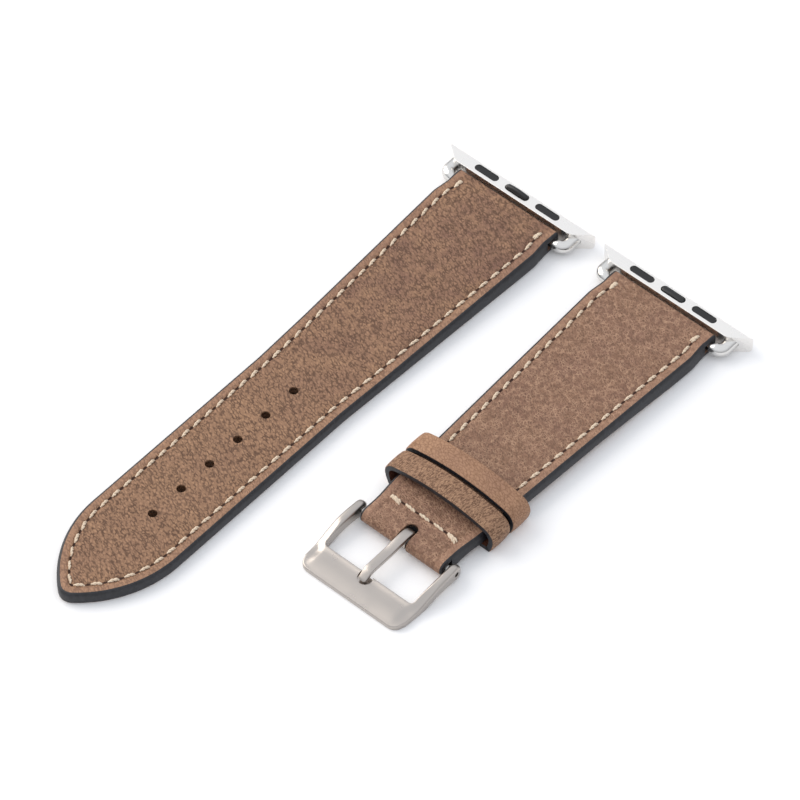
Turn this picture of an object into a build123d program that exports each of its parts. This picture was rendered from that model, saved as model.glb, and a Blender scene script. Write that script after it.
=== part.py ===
from build123d import *
import os
from math import atan2, cos, degrees, radians, sin, sqrt

# Two-piece leather watch strap. The tail half and the buckle half lie side by side,
# each with a metal lug adapter at its top end. X runs across the straps, +Y runs
# toward the watch, +Z is up, and the straps lie on the plane z = 0.
# Places along a strap are distances from the centre line of the adapter's slots
# toward the strap's far end.

# Layout
half_spacing = 36.4
overrun = 3.0

# Lug adapters
adapter_height = 3.7
adapter_top_back = 1.05
adapter_front = 1.45
adapter_bulge = 0.93
adapter_bore_to_corner = 0.746
adapter_end_slant = 4.246
adapter_corner_radius = 2.8
adapter_tip_radius = 0.44
adapter_bottom_round = 0.35
adapter_top_round = 0.12
slot_pitch = 7.14
slot_length = 5.3
slot_width = 1.5
pad_depth = 1.2
pad_inset = 0.05
pad_clearance = 0.02
pad_edge_round = 0.15

# Latch buttons in the middle slots
ceiling_thickness = 1.1
flange_room_length = 6.6
flange_room_width = 1.7
flange_clearance = 0.15
flange_thickness = 0.6
button_clearance = 0.15
button_travel = 0.8
tail_button_proud = 0.45
buckle_side_button_proud = 0.2
button_edge_round = 0.2
retainer_thickness = 0.5
retainer_clearance = 0.02
latch_spring_radius = 0.5
latch_spring_wall = 0.2
latch_spring_offset = 2.2

# Bails, the wire loops that carry the straps
rod_radius = 0.825
bail_side_gap = 1.875
bail_elbow_radius = 1.7
bail_bore_clearance = 0.04
bail_bore_depth = 2.2
loop_clearance = 0.075
loop_front_gap = 0.75

# Leather
skin = 0.8
lining_thickness = 0.8
seam_gap = 0.1
lug_width = 24.0
loop_width = 23.2
strap_width = 20.0
loop_straight_end = 5.5
lug_widest_at = 9.0
turn_in_end = 14.0
filler_gap = 0.4

# Tail half
tail_taper_end = 58.0
tail_parallel_end = 101.0
tip_rise = 19.0
tip_nose_radius = 2.5
tail_thickness = 2.5
tail_thin_from = 46.0
first_hole_at = 60.1
hole_pitch = 7.3
hole_count = 6
hole_radius = 0.87

# Buckle half
spring_bar_at = 71.8
buckle_taper_end = 55.0
raised_from = 32.0
neck_length = 7.5
neck_to_bar = 2.3
neck_side_gap = 0.6
flap_length = 7.5
flap_level_length = 1.7
flap_drop_to_bar = 2.2

# Keepers, the two leather loops
keeper_length = 4.6
keeper_gap = 0.8
keeper_to_bar = 10.8
keeper_wall = 1.0
keeper_clearance = 0.05
keeper_side_room = 1.4
keeper_headroom = 2.35
keeper_widest_height = 2.4
keeper_shoulder_in = 2.0
keeper_crown_rise = 1.3
keeper_foot_in = 0.9

# Buckle frame
frame_inner = 20.0
ear_width = 1.45
arm_width = 1.7
frame_corner_width = 1.2
ear_radius = 1.5
ear_hole_clearance = 0.05
arm_foot_from_bar = 8.4
arm_top_arch = 0.5
arm_foot_arch = 0.6
window_depth = 9.9
plate_depth = 5.5
plate_lip_height = 1.95
plate_front_height = 0.8
plate_bulge = 0.25
plate_past_share = 0.25
window_corner_radius = 0.8
frame_corner_radius = 1.9
notch_radius = 1.45
notch_depth = 0.7

# Spring bar
tube_radius = 0.75
tube_bore_radius = 0.55
tube_running_gap = 0.05
tube_end_gap = 0.3
tube_end_wall = 0.4
tip_pin_radius = 0.4
tip_pin_clearance = 0.03
tip_head_radius = 0.5
tip_head_length = 1.0
tip_reach = 0.9
tip_travel = 1.0
tip_slide_gap = 0.05
bar_spring_radius = 0.48
bar_spring_wall = 0.18

# Tongue of the buckle
tongue_width = 1.8
tongue_thickness = 1.0
tongue_eye_wall = 0.6
tongue_slot_width = 2.5
tongue_slot_behind_bar = 2.6
tongue_heel_past_bar = 0.6
tongue_heel_rise = 1.9
tongue_kink_from_bar = 4.8
tongue_kink_rise = 1.5
tongue_bend_past_lip = 0.0
tongue_bend_rise = 1.4
tongue_tip_past_lip = 1.8
tongue_tip_rise = 0.25
tongue_tip_thickness = 0.7
tongue_root_angle = 125.0
tongue_throat_angle = 20.0

# Stitching
stitch_pitch = 3.0
stitch_length = 1.9
thread_width = 0.62
stitch_height = 0.25
stitch_lift = 0.02
stitch_inset = 2.15
stitch_slant = 17.0
first_stitch_at = 5.2
cross_stitch_to_bar = 4.75
cross_stitch_pitch = 3.2
cross_stitch_count = 5
stitch_under_keeper = 2.0

# Values that follow from the sizes above
adapter_back = adapter_top_back + adapter_bulge
mid_height = adapter_height / 2
loop_radius = rod_radius + loop_clearance + skin
bar_at = adapter_front + loop_front_gap + loop_radius
lug_top = mid_height + loop_radius
lug_bottom = mid_height - loop_radius
half_strap = strap_width / 2
tip_radius = (half_strap**2 + tip_rise**2) / strap_width
tip_centre = tip_radius - half_strap
nose_centre_at = tail_parallel_end + sqrt((tip_radius - tip_nose_radius) ** 2 - tip_centre**2)
tail_end = nose_centre_at + tip_nose_radius
pad_line_y = (tail_end - adapter_back) / 2
tail_x = -half_spacing / 2
buckle_x = half_spacing / 2
keeper_floor = keeper_wall + keeper_clearance
fold_radius = tube_radius + tube_running_gap + skin
spring_bar_height = lug_top - fold_radius
far = tail_end + overrun
half_frame = frame_inner / 2
back_turn = (270, 180, 90)
front_turn = (90, 0, -90)

# Bails and adapters follow the leather's loop
bail_half = loop_width / 2 + bail_side_gap + rod_radius
adapter_front_half = bail_half - adapter_bore_to_corner
adapter_back_half = adapter_front_half + adapter_end_slant

# Neck, fold, keepers and buckle follow the spring bar
neck_end = spring_bar_at - neck_to_bar
neck_start = neck_end - neck_length
neck_half = half_frame - neck_side_gap
flap_start = spring_bar_at - flap_length
flap_drop_start = flap_start + flap_level_length
flap_drop_end = spring_bar_at - flap_drop_to_bar
front_keeper_at = spring_bar_at - keeper_to_bar
rear_keeper_at = front_keeper_at - keeper_length - keeper_gap
keeper_half = half_strap + keeper_side_room + keeper_wall
keeper_height = lug_top + keeper_headroom + keeper_wall
keeper_shoulder_half = keeper_half - keeper_shoulder_in
keeper_shoulder_height = keeper_height - keeper_crown_rise
keeper_foot_half = keeper_half - keeper_foot_in
frame_outer_half = half_frame + arm_width
ear_outer_half = half_frame + ear_width
corner_outer_half = half_frame + frame_corner_width
arm_foot_at = spring_bar_at + arm_foot_from_bar
plate_inner_at = spring_bar_at + window_depth
plate_front_at = plate_inner_at + plate_depth
tongue_slot_back = spring_bar_at - tongue_slot_behind_bar
tongue_heel = (spring_bar_at + tongue_heel_past_bar, spring_bar_height + tongue_heel_rise)
tongue_kink_at = spring_bar_at + tongue_kink_from_bar
tongue_kink_height = spring_bar_height + tongue_kink_rise
tongue_bend_at = plate_inner_at + tongue_bend_past_lip
tongue_bend_height = plate_lip_height + tongue_bend_rise
tongue_tip_at = plate_inner_at + tongue_tip_past_lip
tongue_tip_height = plate_lip_height + tongue_tip_rise
cross_stitch_at = spring_bar_at - cross_stitch_to_bar


def y_at(place):
    """Global Y of a place along a strap."""
    return pad_line_y - place


def height_on(line, place):
    """Height of a line of (place, height) points at one place."""
    for (start, low), (end, high) in zip(line, line[1:]):
        if place <= end:
            return low + (high - low) * (place - start) / (end - start)
    return line[-1][1]


def stretch(line, start, end, shift):
    """Points of a height line between two places, moved up by a shift."""
    inner = [(place, height + shift) for place, height in line if start < place < end]
    ends = [(place, height_on(line, place) + shift) for place in (start, end)]
    return [ends[0], *inner, ends[1]]


def side_points(points):
    """Turn (place, height) points into points of a side sketch."""
    return [(y_at(place), height) for place, height in points]


def arched(start, end, rise):
    """Point above the middle of two (place, height) points."""
    return ((start[0] + end[0]) / 2, (start[1] + end[1]) / 2 + rise)


def turned(centre_place, centre_height, radius, angle):
    """Point of a side sketch on a circle, at an angle from the strap's far end."""
    place = centre_place + radius * cos(radians(angle))
    return (y_at(place), centre_height + radius * sin(radians(angle)))


# Height lines of the leathers, as (place, height)
tail_top = [(bar_at, lug_top), (lug_widest_at, lug_top), (tail_thin_from, tail_thickness), (far, tail_thickness)]
tail_under = [(bar_at, lug_bottom), (turn_in_end, 0), (far, 0)]
fold_bottom = spring_bar_height - fold_radius
buckle_top = [(bar_at, lug_top), (spring_bar_at, lug_top)]
buckle_under = [
    (bar_at, lug_bottom),
    (turn_in_end, lug_bottom),
    (raised_from, keeper_floor),
    (flap_drop_start, keeper_floor),
    (flap_drop_end, fold_bottom),
    (spring_bar_at, fold_bottom),
]

# Half widths of the leathers, as (place, half width)
tail_half_widths = [
    (loop_straight_end, loop_width / 2),
    (lug_widest_at, lug_width / 2),
    (tail_taper_end, half_strap),
    (tail_parallel_end, half_strap),
]
buckle_half_widths = [
    (loop_straight_end, loop_width / 2),
    (lug_widest_at, lug_width / 2),
    (buckle_taper_end, half_strap),
    (neck_start, half_strap),
]

# Outline of the tail half, seen from above
with BuildSketch() as tail_outline:
    with BuildLine() as tail_edges:
        left = [(tail_x - half, y_at(place)) for place, half in tail_half_widths]
        right = [(tail_x + half, y_at(place)) for place, half in tail_half_widths]
        loop_left = (tail_x - loop_width / 2, y_at(0))
        loop_right = (tail_x + loop_width / 2, y_at(0))
        Polyline(left[-1], *reversed(left[:-1]), loop_left, loop_right, *right)
        tip = (tail_x, y_at(tail_parallel_end + tip_rise))
        RadiusArc(left[-1], tip, -tip_radius)
        RadiusArc(tip, right[-1], -tip_radius)
    make_face()
    fillet(tail_outline.vertices().sort_by(Axis.Y)[0], radius=tip_nose_radius)

# Outline of the buckle half, with its narrower neck
with BuildSketch() as buckle_outline:
    with BuildLine() as buckle_edges:
        left = [(buckle_x - half, y_at(place)) for place, half in buckle_half_widths]
        right = [(buckle_x + half, y_at(place)) for place, half in buckle_half_widths]
        neck_left = (buckle_x - neck_half, y_at(neck_end))
        neck_right = (buckle_x + neck_half, y_at(neck_end))
        end_left = (buckle_x - neck_half, y_at(spring_bar_at + fold_radius + overrun))
        end_right = (buckle_x + neck_half, y_at(spring_bar_at + fold_radius + overrun))
        loop_left = (buckle_x - loop_width / 2, y_at(0))
        loop_right = (buckle_x + loop_width / 2, y_at(0))
        Polyline(left[-1], *reversed(left[:-1]), loop_left, loop_right, *right)
        Spline(right[-1], neck_right, tangents=((0, -1), (0, -1)))
        Polyline(neck_right, end_right, end_left, neck_left)
        Spline(neck_left, left[-1], tangents=((0, 1), (0, 1)))
    make_face()

# Slot for the tongue at the end of the buckle half
with BuildSketch() as tongue_slot:
    slot_reach = spring_bar_at + fold_radius + overrun - tongue_slot_back
    with Locations((buckle_x, y_at(tongue_slot_back + slot_reach / 2))):
        SlotOverall(slot_reach, tongue_slot_width, rotation=90)

# Top leather of the tail half, wrapped round its bail and turned in below
with BuildPart() as tail_top_leather:
    with BuildSketch(Plane.YZ.offset(tail_x)):
        with BuildLine():
            Polyline(*side_points(stretch(tail_top, bar_at, far, 0)))
            Polyline(*side_points([(far, tail_thickness), (far, tail_thickness - skin)]))
            Polyline(*side_points(reversed(stretch(tail_top, bar_at, far, -skin))))
            hole = rod_radius + loop_clearance
            ThreePointArc(*[turned(bar_at, mid_height, hole, angle) for angle in reversed(back_turn)])
            Polyline(*side_points(stretch(tail_under, bar_at, turn_in_end, skin)))
            Polyline(*side_points([(turn_in_end, skin), (turn_in_end, 0)]))
            Polyline(*side_points(reversed(stretch(tail_under, bar_at, turn_in_end, 0))))
            ThreePointArc(*[turned(bar_at, mid_height, loop_radius, angle) for angle in back_turn])
        make_face()
    extrude(amount=lug_width, both=True)
    extrude(tail_outline.sketch, amount=adapter_height, mode=Mode.INTERSECT)
    hole_row = [(tail_x, y_at(first_hole_at + hole_pitch * index)) for index in range(hole_count)]
    with Locations(*hole_row):
        Cylinder(hole_radius, 2 * adapter_height, mode=Mode.SUBTRACT)
tail_top_leather.part.label = "tail_top_leather"

# Filler between the tail's top leather and its lining
with BuildPart() as tail_filler:
    with BuildSketch(Plane.YZ.offset(tail_x)):
        with BuildLine():
            start = bar_at + rod_radius + loop_clearance + filler_gap
            upper = stretch(tail_top, start, far, -skin)
            lower = stretch(tail_under, start, turn_in_end, skin)
            lower += stretch(tail_under, turn_in_end + seam_gap, far, lining_thickness)
            Polyline(*side_points(upper + lower[::-1]), close=True)
        make_face()
    extrude(amount=lug_width, both=True)
    extrude(tail_outline.sketch, amount=adapter_height, mode=Mode.INTERSECT)
    with Locations(*hole_row):
        Cylinder(hole_radius, 2 * adapter_height, mode=Mode.SUBTRACT)
tail_filler.part.label = "tail_filler"

# Lining under the tail half
with BuildPart() as tail_lining:
    with BuildSketch(Plane.YZ.offset(tail_x)):
        with BuildLine():
            upper = stretch(tail_under, turn_in_end + seam_gap, far, lining_thickness)
            lower = stretch(tail_under, turn_in_end + seam_gap, far, 0)
            Polyline(*side_points(upper + lower[::-1]), close=True)
        make_face()
    extrude(amount=lug_width, both=True)
    extrude(tail_outline.sketch, amount=adapter_height, mode=Mode.INTERSECT)
    with Locations(*hole_row):
        Cylinder(hole_radius, 2 * adapter_height, mode=Mode.SUBTRACT)
tail_lining.part.label = "tail_lining"

# Top leather of the buckle half, wrapped round the bail at one end and the spring bar at the other
with BuildPart() as buckle_side_top_leather:
    with BuildSketch(Plane.YZ.offset(buckle_x)):
        with BuildLine():
            Line(*side_points([(bar_at, lug_top), (spring_bar_at, lug_top)]))
            ThreePointArc(*[turned(spring_bar_at, spring_bar_height, fold_radius, angle) for angle in front_turn])
            Polyline(*side_points(reversed(stretch(buckle_under, flap_start, spring_bar_at, 0))))
            Line(*side_points([(flap_start, keeper_floor), (flap_start, keeper_floor + skin)]))
            Polyline(*side_points(stretch(buckle_under, flap_start, spring_bar_at, skin)))
            tube_hole = tube_radius + tube_running_gap
            ThreePointArc(*[turned(spring_bar_at, spring_bar_height, tube_hole, angle) for angle in reversed(front_turn)])
            Line(*side_points([(spring_bar_at, lug_top - skin), (bar_at, lug_top - skin)]))
            hole = rod_radius + loop_clearance
            ThreePointArc(*[turned(bar_at, mid_height, hole, angle) for angle in reversed(back_turn)])
            Line(*side_points([(bar_at, lug_bottom + skin), (turn_in_end, lug_bottom + skin)]))
            Line(*side_points([(turn_in_end, lug_bottom + skin), (turn_in_end, lug_bottom)]))
            Line(*side_points([(turn_in_end, lug_bottom), (bar_at, lug_bottom)]))
            ThreePointArc(*[turned(bar_at, mid_height, loop_radius, angle) for angle in back_turn])
        make_face()
    extrude(amount=lug_width, both=True)
    extrude(buckle_outline.sketch, amount=adapter_height, mode=Mode.INTERSECT)
    extrude(tongue_slot.sketch, amount=adapter_height, mode=Mode.SUBTRACT)
buckle_side_top_leather.part.label = "buckle_side_top_leather"

# Filler between the buckle half's top leather, its turned ends and its lining
with BuildPart() as buckle_side_filler:
    with BuildSketch(Plane.YZ.offset(buckle_x)):
        with BuildLine():
            start = bar_at + rod_radius + loop_clearance + filler_gap
            end = spring_bar_at - tube_radius - tube_running_gap - filler_gap
            upper = stretch(buckle_top, start, end, -skin)
            lower = stretch(buckle_under, start, turn_in_end, skin)
            lower += stretch(buckle_under, turn_in_end + seam_gap, flap_start - seam_gap, lining_thickness)
            lower += stretch(buckle_under, flap_start, end, skin)
            Polyline(*side_points(upper + lower[::-1]), close=True)
        make_face()
    extrude(amount=lug_width, both=True)
    extrude(buckle_outline.sketch, amount=adapter_height, mode=Mode.INTERSECT)
    extrude(tongue_slot.sketch, amount=adapter_height, mode=Mode.SUBTRACT)
buckle_side_filler.part.label = "buckle_side_filler"

# Lining under the buckle half, between the two turned ends of the top leather
with BuildPart() as buckle_side_lining:
    with BuildSketch(Plane.YZ.offset(buckle_x)):
        with BuildLine():
            upper = stretch(buckle_under, turn_in_end + seam_gap, flap_start - seam_gap, lining_thickness)
            lower = stretch(buckle_under, turn_in_end + seam_gap, flap_start - seam_gap, 0)
            Polyline(*side_points(upper + lower[::-1]), close=True)
        make_face()
    extrude(amount=lug_width, both=True)
    extrude(buckle_outline.sketch, amount=adapter_height, mode=Mode.INTERSECT)
buckle_side_lining.part.label = "buckle_side_lining"


def seam_run(centre_x, half_widths, side, top_line, start, end):
    """Planes for the stitches of one side seam, from start to end along the strap."""
    planes = []
    count = int((end - start) / stitch_pitch)
    for index in range(count + 1):
        place = start + stitch_pitch * index
        behind, ahead = place - stitch_length / 2, place + stitch_length / 2
        run = (
            side * (height_on(half_widths, ahead) - height_on(half_widths, behind)),
            -stitch_length,
            height_on(top_line, ahead) - height_on(top_line, behind),
        )
        across = side * (height_on(half_widths, place) - stitch_inset)
        normal = Vector(0, run[2], stitch_length).normalized()
        centre = Vector(centre_x + across, y_at(place), height_on(top_line, place)) + normal * stitch_lift
        plane = Plane(origin=centre, x_dir=run, z_dir=normal)
        planes.append(plane.rotated((0, 0, stitch_slant)))
    return planes


# Stitching round the tail half, in two side seams that meet at the tip
with BuildPart() as tail_stitching:
    seam = []
    for side in (-1, 1):
        seam += seam_run(tail_x, tail_half_widths, side, tail_top, first_stitch_at, tail_parallel_end)
        arc_radius = tip_radius - stitch_inset
        arc_end = degrees(atan2(sqrt(arc_radius**2 - tip_centre**2), tip_centre))
        arc_step = degrees(stitch_pitch / arc_radius)
        for index in range(int(arc_end / arc_step)):
            angle = radians(arc_step * (index + 1) - arc_step / 2)
            along = Vector(-side * sin(angle), -cos(angle), 0)
            across = side * (arc_radius * cos(angle) - tip_centre)
            place = tail_parallel_end + arc_radius * sin(angle)
            centre = Vector(tail_x + across, y_at(place), tail_thickness + stitch_lift)
            seam.append(Plane(origin=centre, x_dir=along, z_dir=(0, 0, 1)).rotated((0, 0, stitch_slant)))
    with BuildSketch(*seam):
        SlotOverall(stitch_length, thread_width)
    extrude(amount=stitch_height)
tail_stitching.part.label = "tail_stitching"

# Side seams of the buckle half, which end under the rear keeper
with BuildPart() as buckle_side_stitching:
    seam_end = rear_keeper_at - keeper_length / 2 - stitch_under_keeper
    left_seam = seam_run(buckle_x, buckle_half_widths, -1, buckle_top, first_stitch_at, seam_end)
    right_seam = seam_run(buckle_x, buckle_half_widths, 1, buckle_top, first_stitch_at, seam_end)
    with BuildSketch(*left_seam, *right_seam):
        SlotOverall(stitch_length, thread_width)
    extrude(amount=stitch_height)
buckle_side_stitching.part.label = "buckle_side_stitching"

# Row of stitches across the neck of the buckle half
with BuildPart() as cross_stitching:
    cross_middle = (cross_stitch_count - 1) / 2
    cross_row = []
    for index in range(cross_stitch_count):
        across = cross_stitch_pitch * (index - cross_middle)
        cross_row.append((buckle_x + across, y_at(cross_stitch_at)))
    with BuildSketch(Plane.XY.offset(lug_top + stitch_lift)):
        with Locations(*cross_row):
            SlotOverall(stitch_length, thread_width, rotation=-stitch_slant)
    extrude(amount=stitch_height)
cross_stitching.part.label = "cross_stitching"

for piece in (
    tail_top_leather,
    tail_filler,
    tail_lining,
    buckle_side_top_leather,
    buckle_side_filler,
    buckle_side_lining,
    tail_stitching,
    buckle_side_stitching,
    cross_stitching,
):
    os.makedirs("parts", exist_ok=True)
    export_step(piece.part, f"parts/{piece.part.label}.step")


# Keepers. The front one is fixed under the strap, the rear one slides.
crown_radius = (keeper_shoulder_half**2 + keeper_crown_rise**2) / (2 * keeper_crown_rise)
crown_slope = keeper_shoulder_half / crown_radius
crown_run = (crown_radius - keeper_crown_rise) / crown_radius
right_foot = (buckle_x + keeper_foot_half, 0)
left_foot = (buckle_x - keeper_foot_half, 0)
right_widest = (buckle_x + keeper_half, keeper_widest_height)
left_widest = (buckle_x - keeper_half, keeper_widest_height)
right_shoulder = (buckle_x + keeper_shoulder_half, keeper_shoulder_height)
left_shoulder = (buckle_x - keeper_shoulder_half, keeper_shoulder_height)

for keeper_name, keeper_at, wall in (
    ("free_keeper", rear_keeper_at, keeper_wall),
    ("fixed_keeper", front_keeper_at, keeper_floor),
):
    with BuildPart() as keeper:
        with BuildSketch(Plane.XZ.offset(-y_at(keeper_at))):
            with BuildLine():
                Line(left_foot, right_foot)
                ThreePointArc(right_shoulder, (buckle_x, keeper_height), left_shoulder)
                right_side = TangentArc(right_shoulder, right_widest, tangent=(crown_run, -crown_slope))
                TangentArc(right_widest, right_foot, tangent=right_side % 1)
                left_side = TangentArc(left_shoulder, left_widest, tangent=(-crown_run, -crown_slope))
                TangentArc(left_widest, left_foot, tangent=left_side % 1)
            make_face()
            offset(amount=-wall, mode=Mode.SUBTRACT)
        extrude(amount=keeper_length / 2, both=True)
    keeper.part.label = keeper_name
    export_step(keeper.part, f"parts/{keeper_name}.step")

# Lug adapters, one on each half
for half_name, half_x, button_proud in (
    ("tail", tail_x, tail_button_proud),
    ("buckle_side", buckle_x, buckle_side_button_proud),
):
    ceiling = adapter_height - ceiling_thickness
    pad_places = [(half_x - slot_pitch, pad_line_y), (half_x + slot_pitch, pad_line_y)]

    # Metal body with a bulged back, oblique ends, two pad recesses and the latch's room
    with BuildPart() as adapter_body:
        with BuildSketch(Plane.YZ.offset(half_x)):
            with BuildLine():
                ThreePointArc(
                    (y_at(-adapter_top_back), 0),
                    (y_at(-adapter_back), mid_height),
                    (y_at(-adapter_top_back), adapter_height),
                )
                Polyline(
                    (y_at(-adapter_top_back), adapter_height),
                    (y_at(adapter_front), adapter_height),
                    (y_at(adapter_front), 0),
                    (y_at(-adapter_top_back), 0),
                )
            section = make_face()
            front_corners = section.vertices().group_by(Axis.X)[0]
            fillet(front_corners.sort_by(Axis.Y)[-1], radius=adapter_top_round)
            fillet(vertices().group_by(Axis.X)[0].sort_by(Axis.Y)[0], radius=adapter_bottom_round)
        extrude(amount=adapter_back_half, both=True)
        with BuildSketch() as adapter_outline:
            with BuildLine():
                Polyline(
                    (half_x - adapter_back_half, y_at(-adapter_back)),
                    (half_x + adapter_back_half, y_at(-adapter_back)),
                    (half_x + adapter_front_half, y_at(adapter_front)),
                    (half_x - adapter_front_half, y_at(adapter_front)),
                    close=True,
                )
            make_face()
            fillet(vertices().group_by(Axis.Y)[0], radius=adapter_corner_radius)
            fillet(vertices().group_by(Axis.Y)[-1], radius=adapter_tip_radius)
        extrude(amount=adapter_height, mode=Mode.INTERSECT)
        with BuildSketch(Plane.XY.offset(adapter_height)):
            with Locations(*pad_places):
                SlotOverall(slot_length, slot_width)
        extrude(amount=-pad_depth, mode=Mode.SUBTRACT)
        with BuildSketch():
            with Locations((half_x, pad_line_y)):
                SlotOverall(slot_length, slot_width)
        extrude(amount=adapter_height, mode=Mode.SUBTRACT)
        with BuildSketch():
            with Locations((half_x, pad_line_y)):
                SlotOverall(flange_room_length, flange_room_width)
        extrude(amount=ceiling, mode=Mode.SUBTRACT)
        bore_end_y = y_at(adapter_front - bail_bore_depth)
        with BuildSketch(Plane.XZ.offset(-bore_end_y)):
            with Locations((half_x - bail_half, mid_height), (half_x + bail_half, mid_height)):
                Circle(rod_radius + bail_bore_clearance)
        extrude(amount=bail_bore_depth + overrun, mode=Mode.SUBTRACT)
    adapter_body.part.label = f"{half_name}_adapter_body"
    export_step(adapter_body.part, f"parts/{half_name}_adapter_body.step")

    # Soft black pads in the outer slots
    for pad_name, pad_place in zip(("pad_left", "pad_right"), pad_places):
        with BuildPart() as pad:
            with BuildSketch(Plane.XY.offset(adapter_height - pad_depth)):
                with Locations(pad_place):
                    SlotOverall(slot_length - 2 * pad_clearance, slot_width - 2 * pad_clearance)
            extrude(amount=pad_depth - pad_inset)
            fillet(pad.faces().sort_by(Axis.Z)[-1].edges(), radius=pad_edge_round)
        pad.part.label = f"{half_name}_{pad_name}"
        export_step(pad.part, f"parts/{half_name}_{pad_name}.step")

    # Latch button with a wider flange that holds it in, pushed up by two springs
    flange_top = ceiling - retainer_clearance
    flange_bottom = flange_top - flange_thickness
    with BuildPart() as latch_button:
        with BuildSketch(Plane.XY.offset(flange_bottom)):
            with Locations((half_x, pad_line_y)):
                SlotOverall(flange_room_length - 2 * flange_clearance, flange_room_width - 2 * flange_clearance)
        extrude(amount=flange_thickness)
        with BuildSketch(Plane.XY.offset(flange_top)):
            with Locations((half_x, pad_line_y)):
                SlotOverall(slot_length - 2 * button_clearance, slot_width - 2 * button_clearance)
        extrude(amount=adapter_height + button_proud - flange_top)
        fillet(latch_button.faces().sort_by(Axis.Z)[-1].edges(), radius=button_edge_round)
    latch_button.part.label = f"{half_name}_latch_button"
    export_step(latch_button.part, f"parts/{half_name}_latch_button.step")

    # Plate that closes the latch's room from below
    with BuildPart() as latch_retainer:
        with BuildSketch():
            with Locations((half_x, pad_line_y)):
                SlotOverall(
                    flange_room_length - 2 * retainer_clearance,
                    flange_room_width - 2 * retainer_clearance,
                )
        extrude(amount=retainer_thickness)
    latch_retainer.part.label = f"{half_name}_latch_retainer"
    export_step(latch_retainer.part, f"parts/{half_name}_latch_retainer.step")

    # Small springs between the plate and the button, drawn as sleeves
    for spring_name, spring_offset in (
        ("latch_spring_left", -latch_spring_offset),
        ("latch_spring_right", latch_spring_offset),
    ):
        with BuildPart() as latch_spring:
            with BuildSketch(Plane.XY.offset(retainer_thickness)):
                with Locations((half_x + spring_offset, pad_line_y)):
                    Circle(latch_spring_radius)
                    Circle(latch_spring_radius - latch_spring_wall, mode=Mode.SUBTRACT)
            extrude(amount=flange_bottom - retainer_thickness)
        latch_spring.part.label = f"{half_name}_{spring_name}"
        export_step(latch_spring.part, f"parts/{half_name}_{spring_name}.step")

    # Wire bail that carries the leather's loop
    with BuildPart() as bail:
        bail_end_y = bore_end_y - bail_bore_clearance
        with BuildLine(Plane.XY.offset(mid_height)) as bail_path:
            FilletPolyline(
                (half_x - bail_half, bail_end_y),
                (half_x - bail_half, y_at(bar_at)),
                (half_x + bail_half, y_at(bar_at)),
                (half_x + bail_half, bail_end_y),
                radius=bail_elbow_radius,
            )
        with BuildSketch(Plane(bail_path.line @ 0, z_dir=bail_path.line % 0)):
            Circle(rod_radius)
        sweep()
    bail.part.label = f"{half_name}_bail"
    export_step(bail.part, f"parts/{half_name}_bail.step")

# Buckle frame: two arms with ears on the spring bar, joined by a sloping front plate
with BuildPart() as buckle_frame:
    with BuildSketch(Plane.YZ.offset(buckle_x)):
        with BuildLine():
            knee = (plate_inner_at + plate_depth / 2, (plate_lip_height + plate_front_height) / 2 + plate_bulge)
            past_front = plate_front_at + plate_past_share * plate_depth
            past_height = plate_front_height + (past_front - plate_front_at) * (
                (plate_front_height - knee[1]) / (plate_front_at - knee[0])
            )
            ThreePointArc(*[turned(spring_bar_at, spring_bar_height, ear_radius, angle) for angle in back_turn])
            ear_top = (spring_bar_at, spring_bar_height + ear_radius)
            ear_bottom = (spring_bar_at, spring_bar_height - ear_radius)
            lip = (plate_inner_at, plate_lip_height)
            foot = (arm_foot_at, 0)
            ThreePointArc(*side_points([ear_top, arched(ear_top, lip, arm_top_arch), lip]))
            Polyline(*side_points([lip, knee, (past_front, past_height), (past_front, 0), foot]))
            ThreePointArc(*side_points([foot, arched(foot, ear_bottom, arm_foot_arch), ear_bottom]))
        make_face()
    extrude(amount=frame_inner, both=True)
    with BuildSketch():
        with BuildLine():
            back = y_at(spring_bar_at - ear_radius - overrun)
            belly = y_at((spring_bar_at + plate_front_at) / 2)
            front = y_at(plate_front_at)
            back_corners = [(buckle_x - ear_outer_half, back), (buckle_x + ear_outer_half, back)]
            front_corners = [(buckle_x - corner_outer_half, front), (buckle_x + corner_outer_half, front)]
            ThreePointArc(back_corners[0], (buckle_x - frame_outer_half, belly), front_corners[0])
            Line(*front_corners)
            ThreePointArc(front_corners[1], (buckle_x + frame_outer_half, belly), back_corners[1])
            Line(*back_corners)
        make_face()
        fillet(vertices().group_by(Axis.Y)[0], radius=frame_corner_radius)
    extrude(amount=adapter_height, mode=Mode.INTERSECT)
    with BuildSketch():
        with BuildLine():
            window_back = back + overrun
            window_front = y_at(plate_inner_at)
            Polyline(
                (buckle_x - half_frame, window_back),
                (buckle_x + half_frame, window_back),
                (buckle_x + half_frame, window_front),
                (buckle_x - half_frame, window_front),
                close=True,
            )
        make_face()
        fillet(vertices().group_by(Axis.Y)[0], radius=window_corner_radius)
    extrude(amount=adapter_height, mode=Mode.SUBTRACT)
    with BuildSketch(Plane.XY.offset(plate_lip_height - notch_depth)):
        with Locations((buckle_x, y_at(plate_inner_at + notch_radius / 2))):
            Circle(notch_radius)
    extrude(amount=adapter_height, mode=Mode.SUBTRACT)
    with BuildSketch(Plane.YZ.offset(buckle_x)):
        with Locations((y_at(spring_bar_at), spring_bar_height)):
            Circle(tip_pin_radius + ear_hole_clearance)
    extrude(amount=frame_inner, both=True, mode=Mode.SUBTRACT)
buckle_frame.part.label = "buckle_frame"
export_step(buckle_frame.part, "parts/buckle_frame.step")

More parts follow.
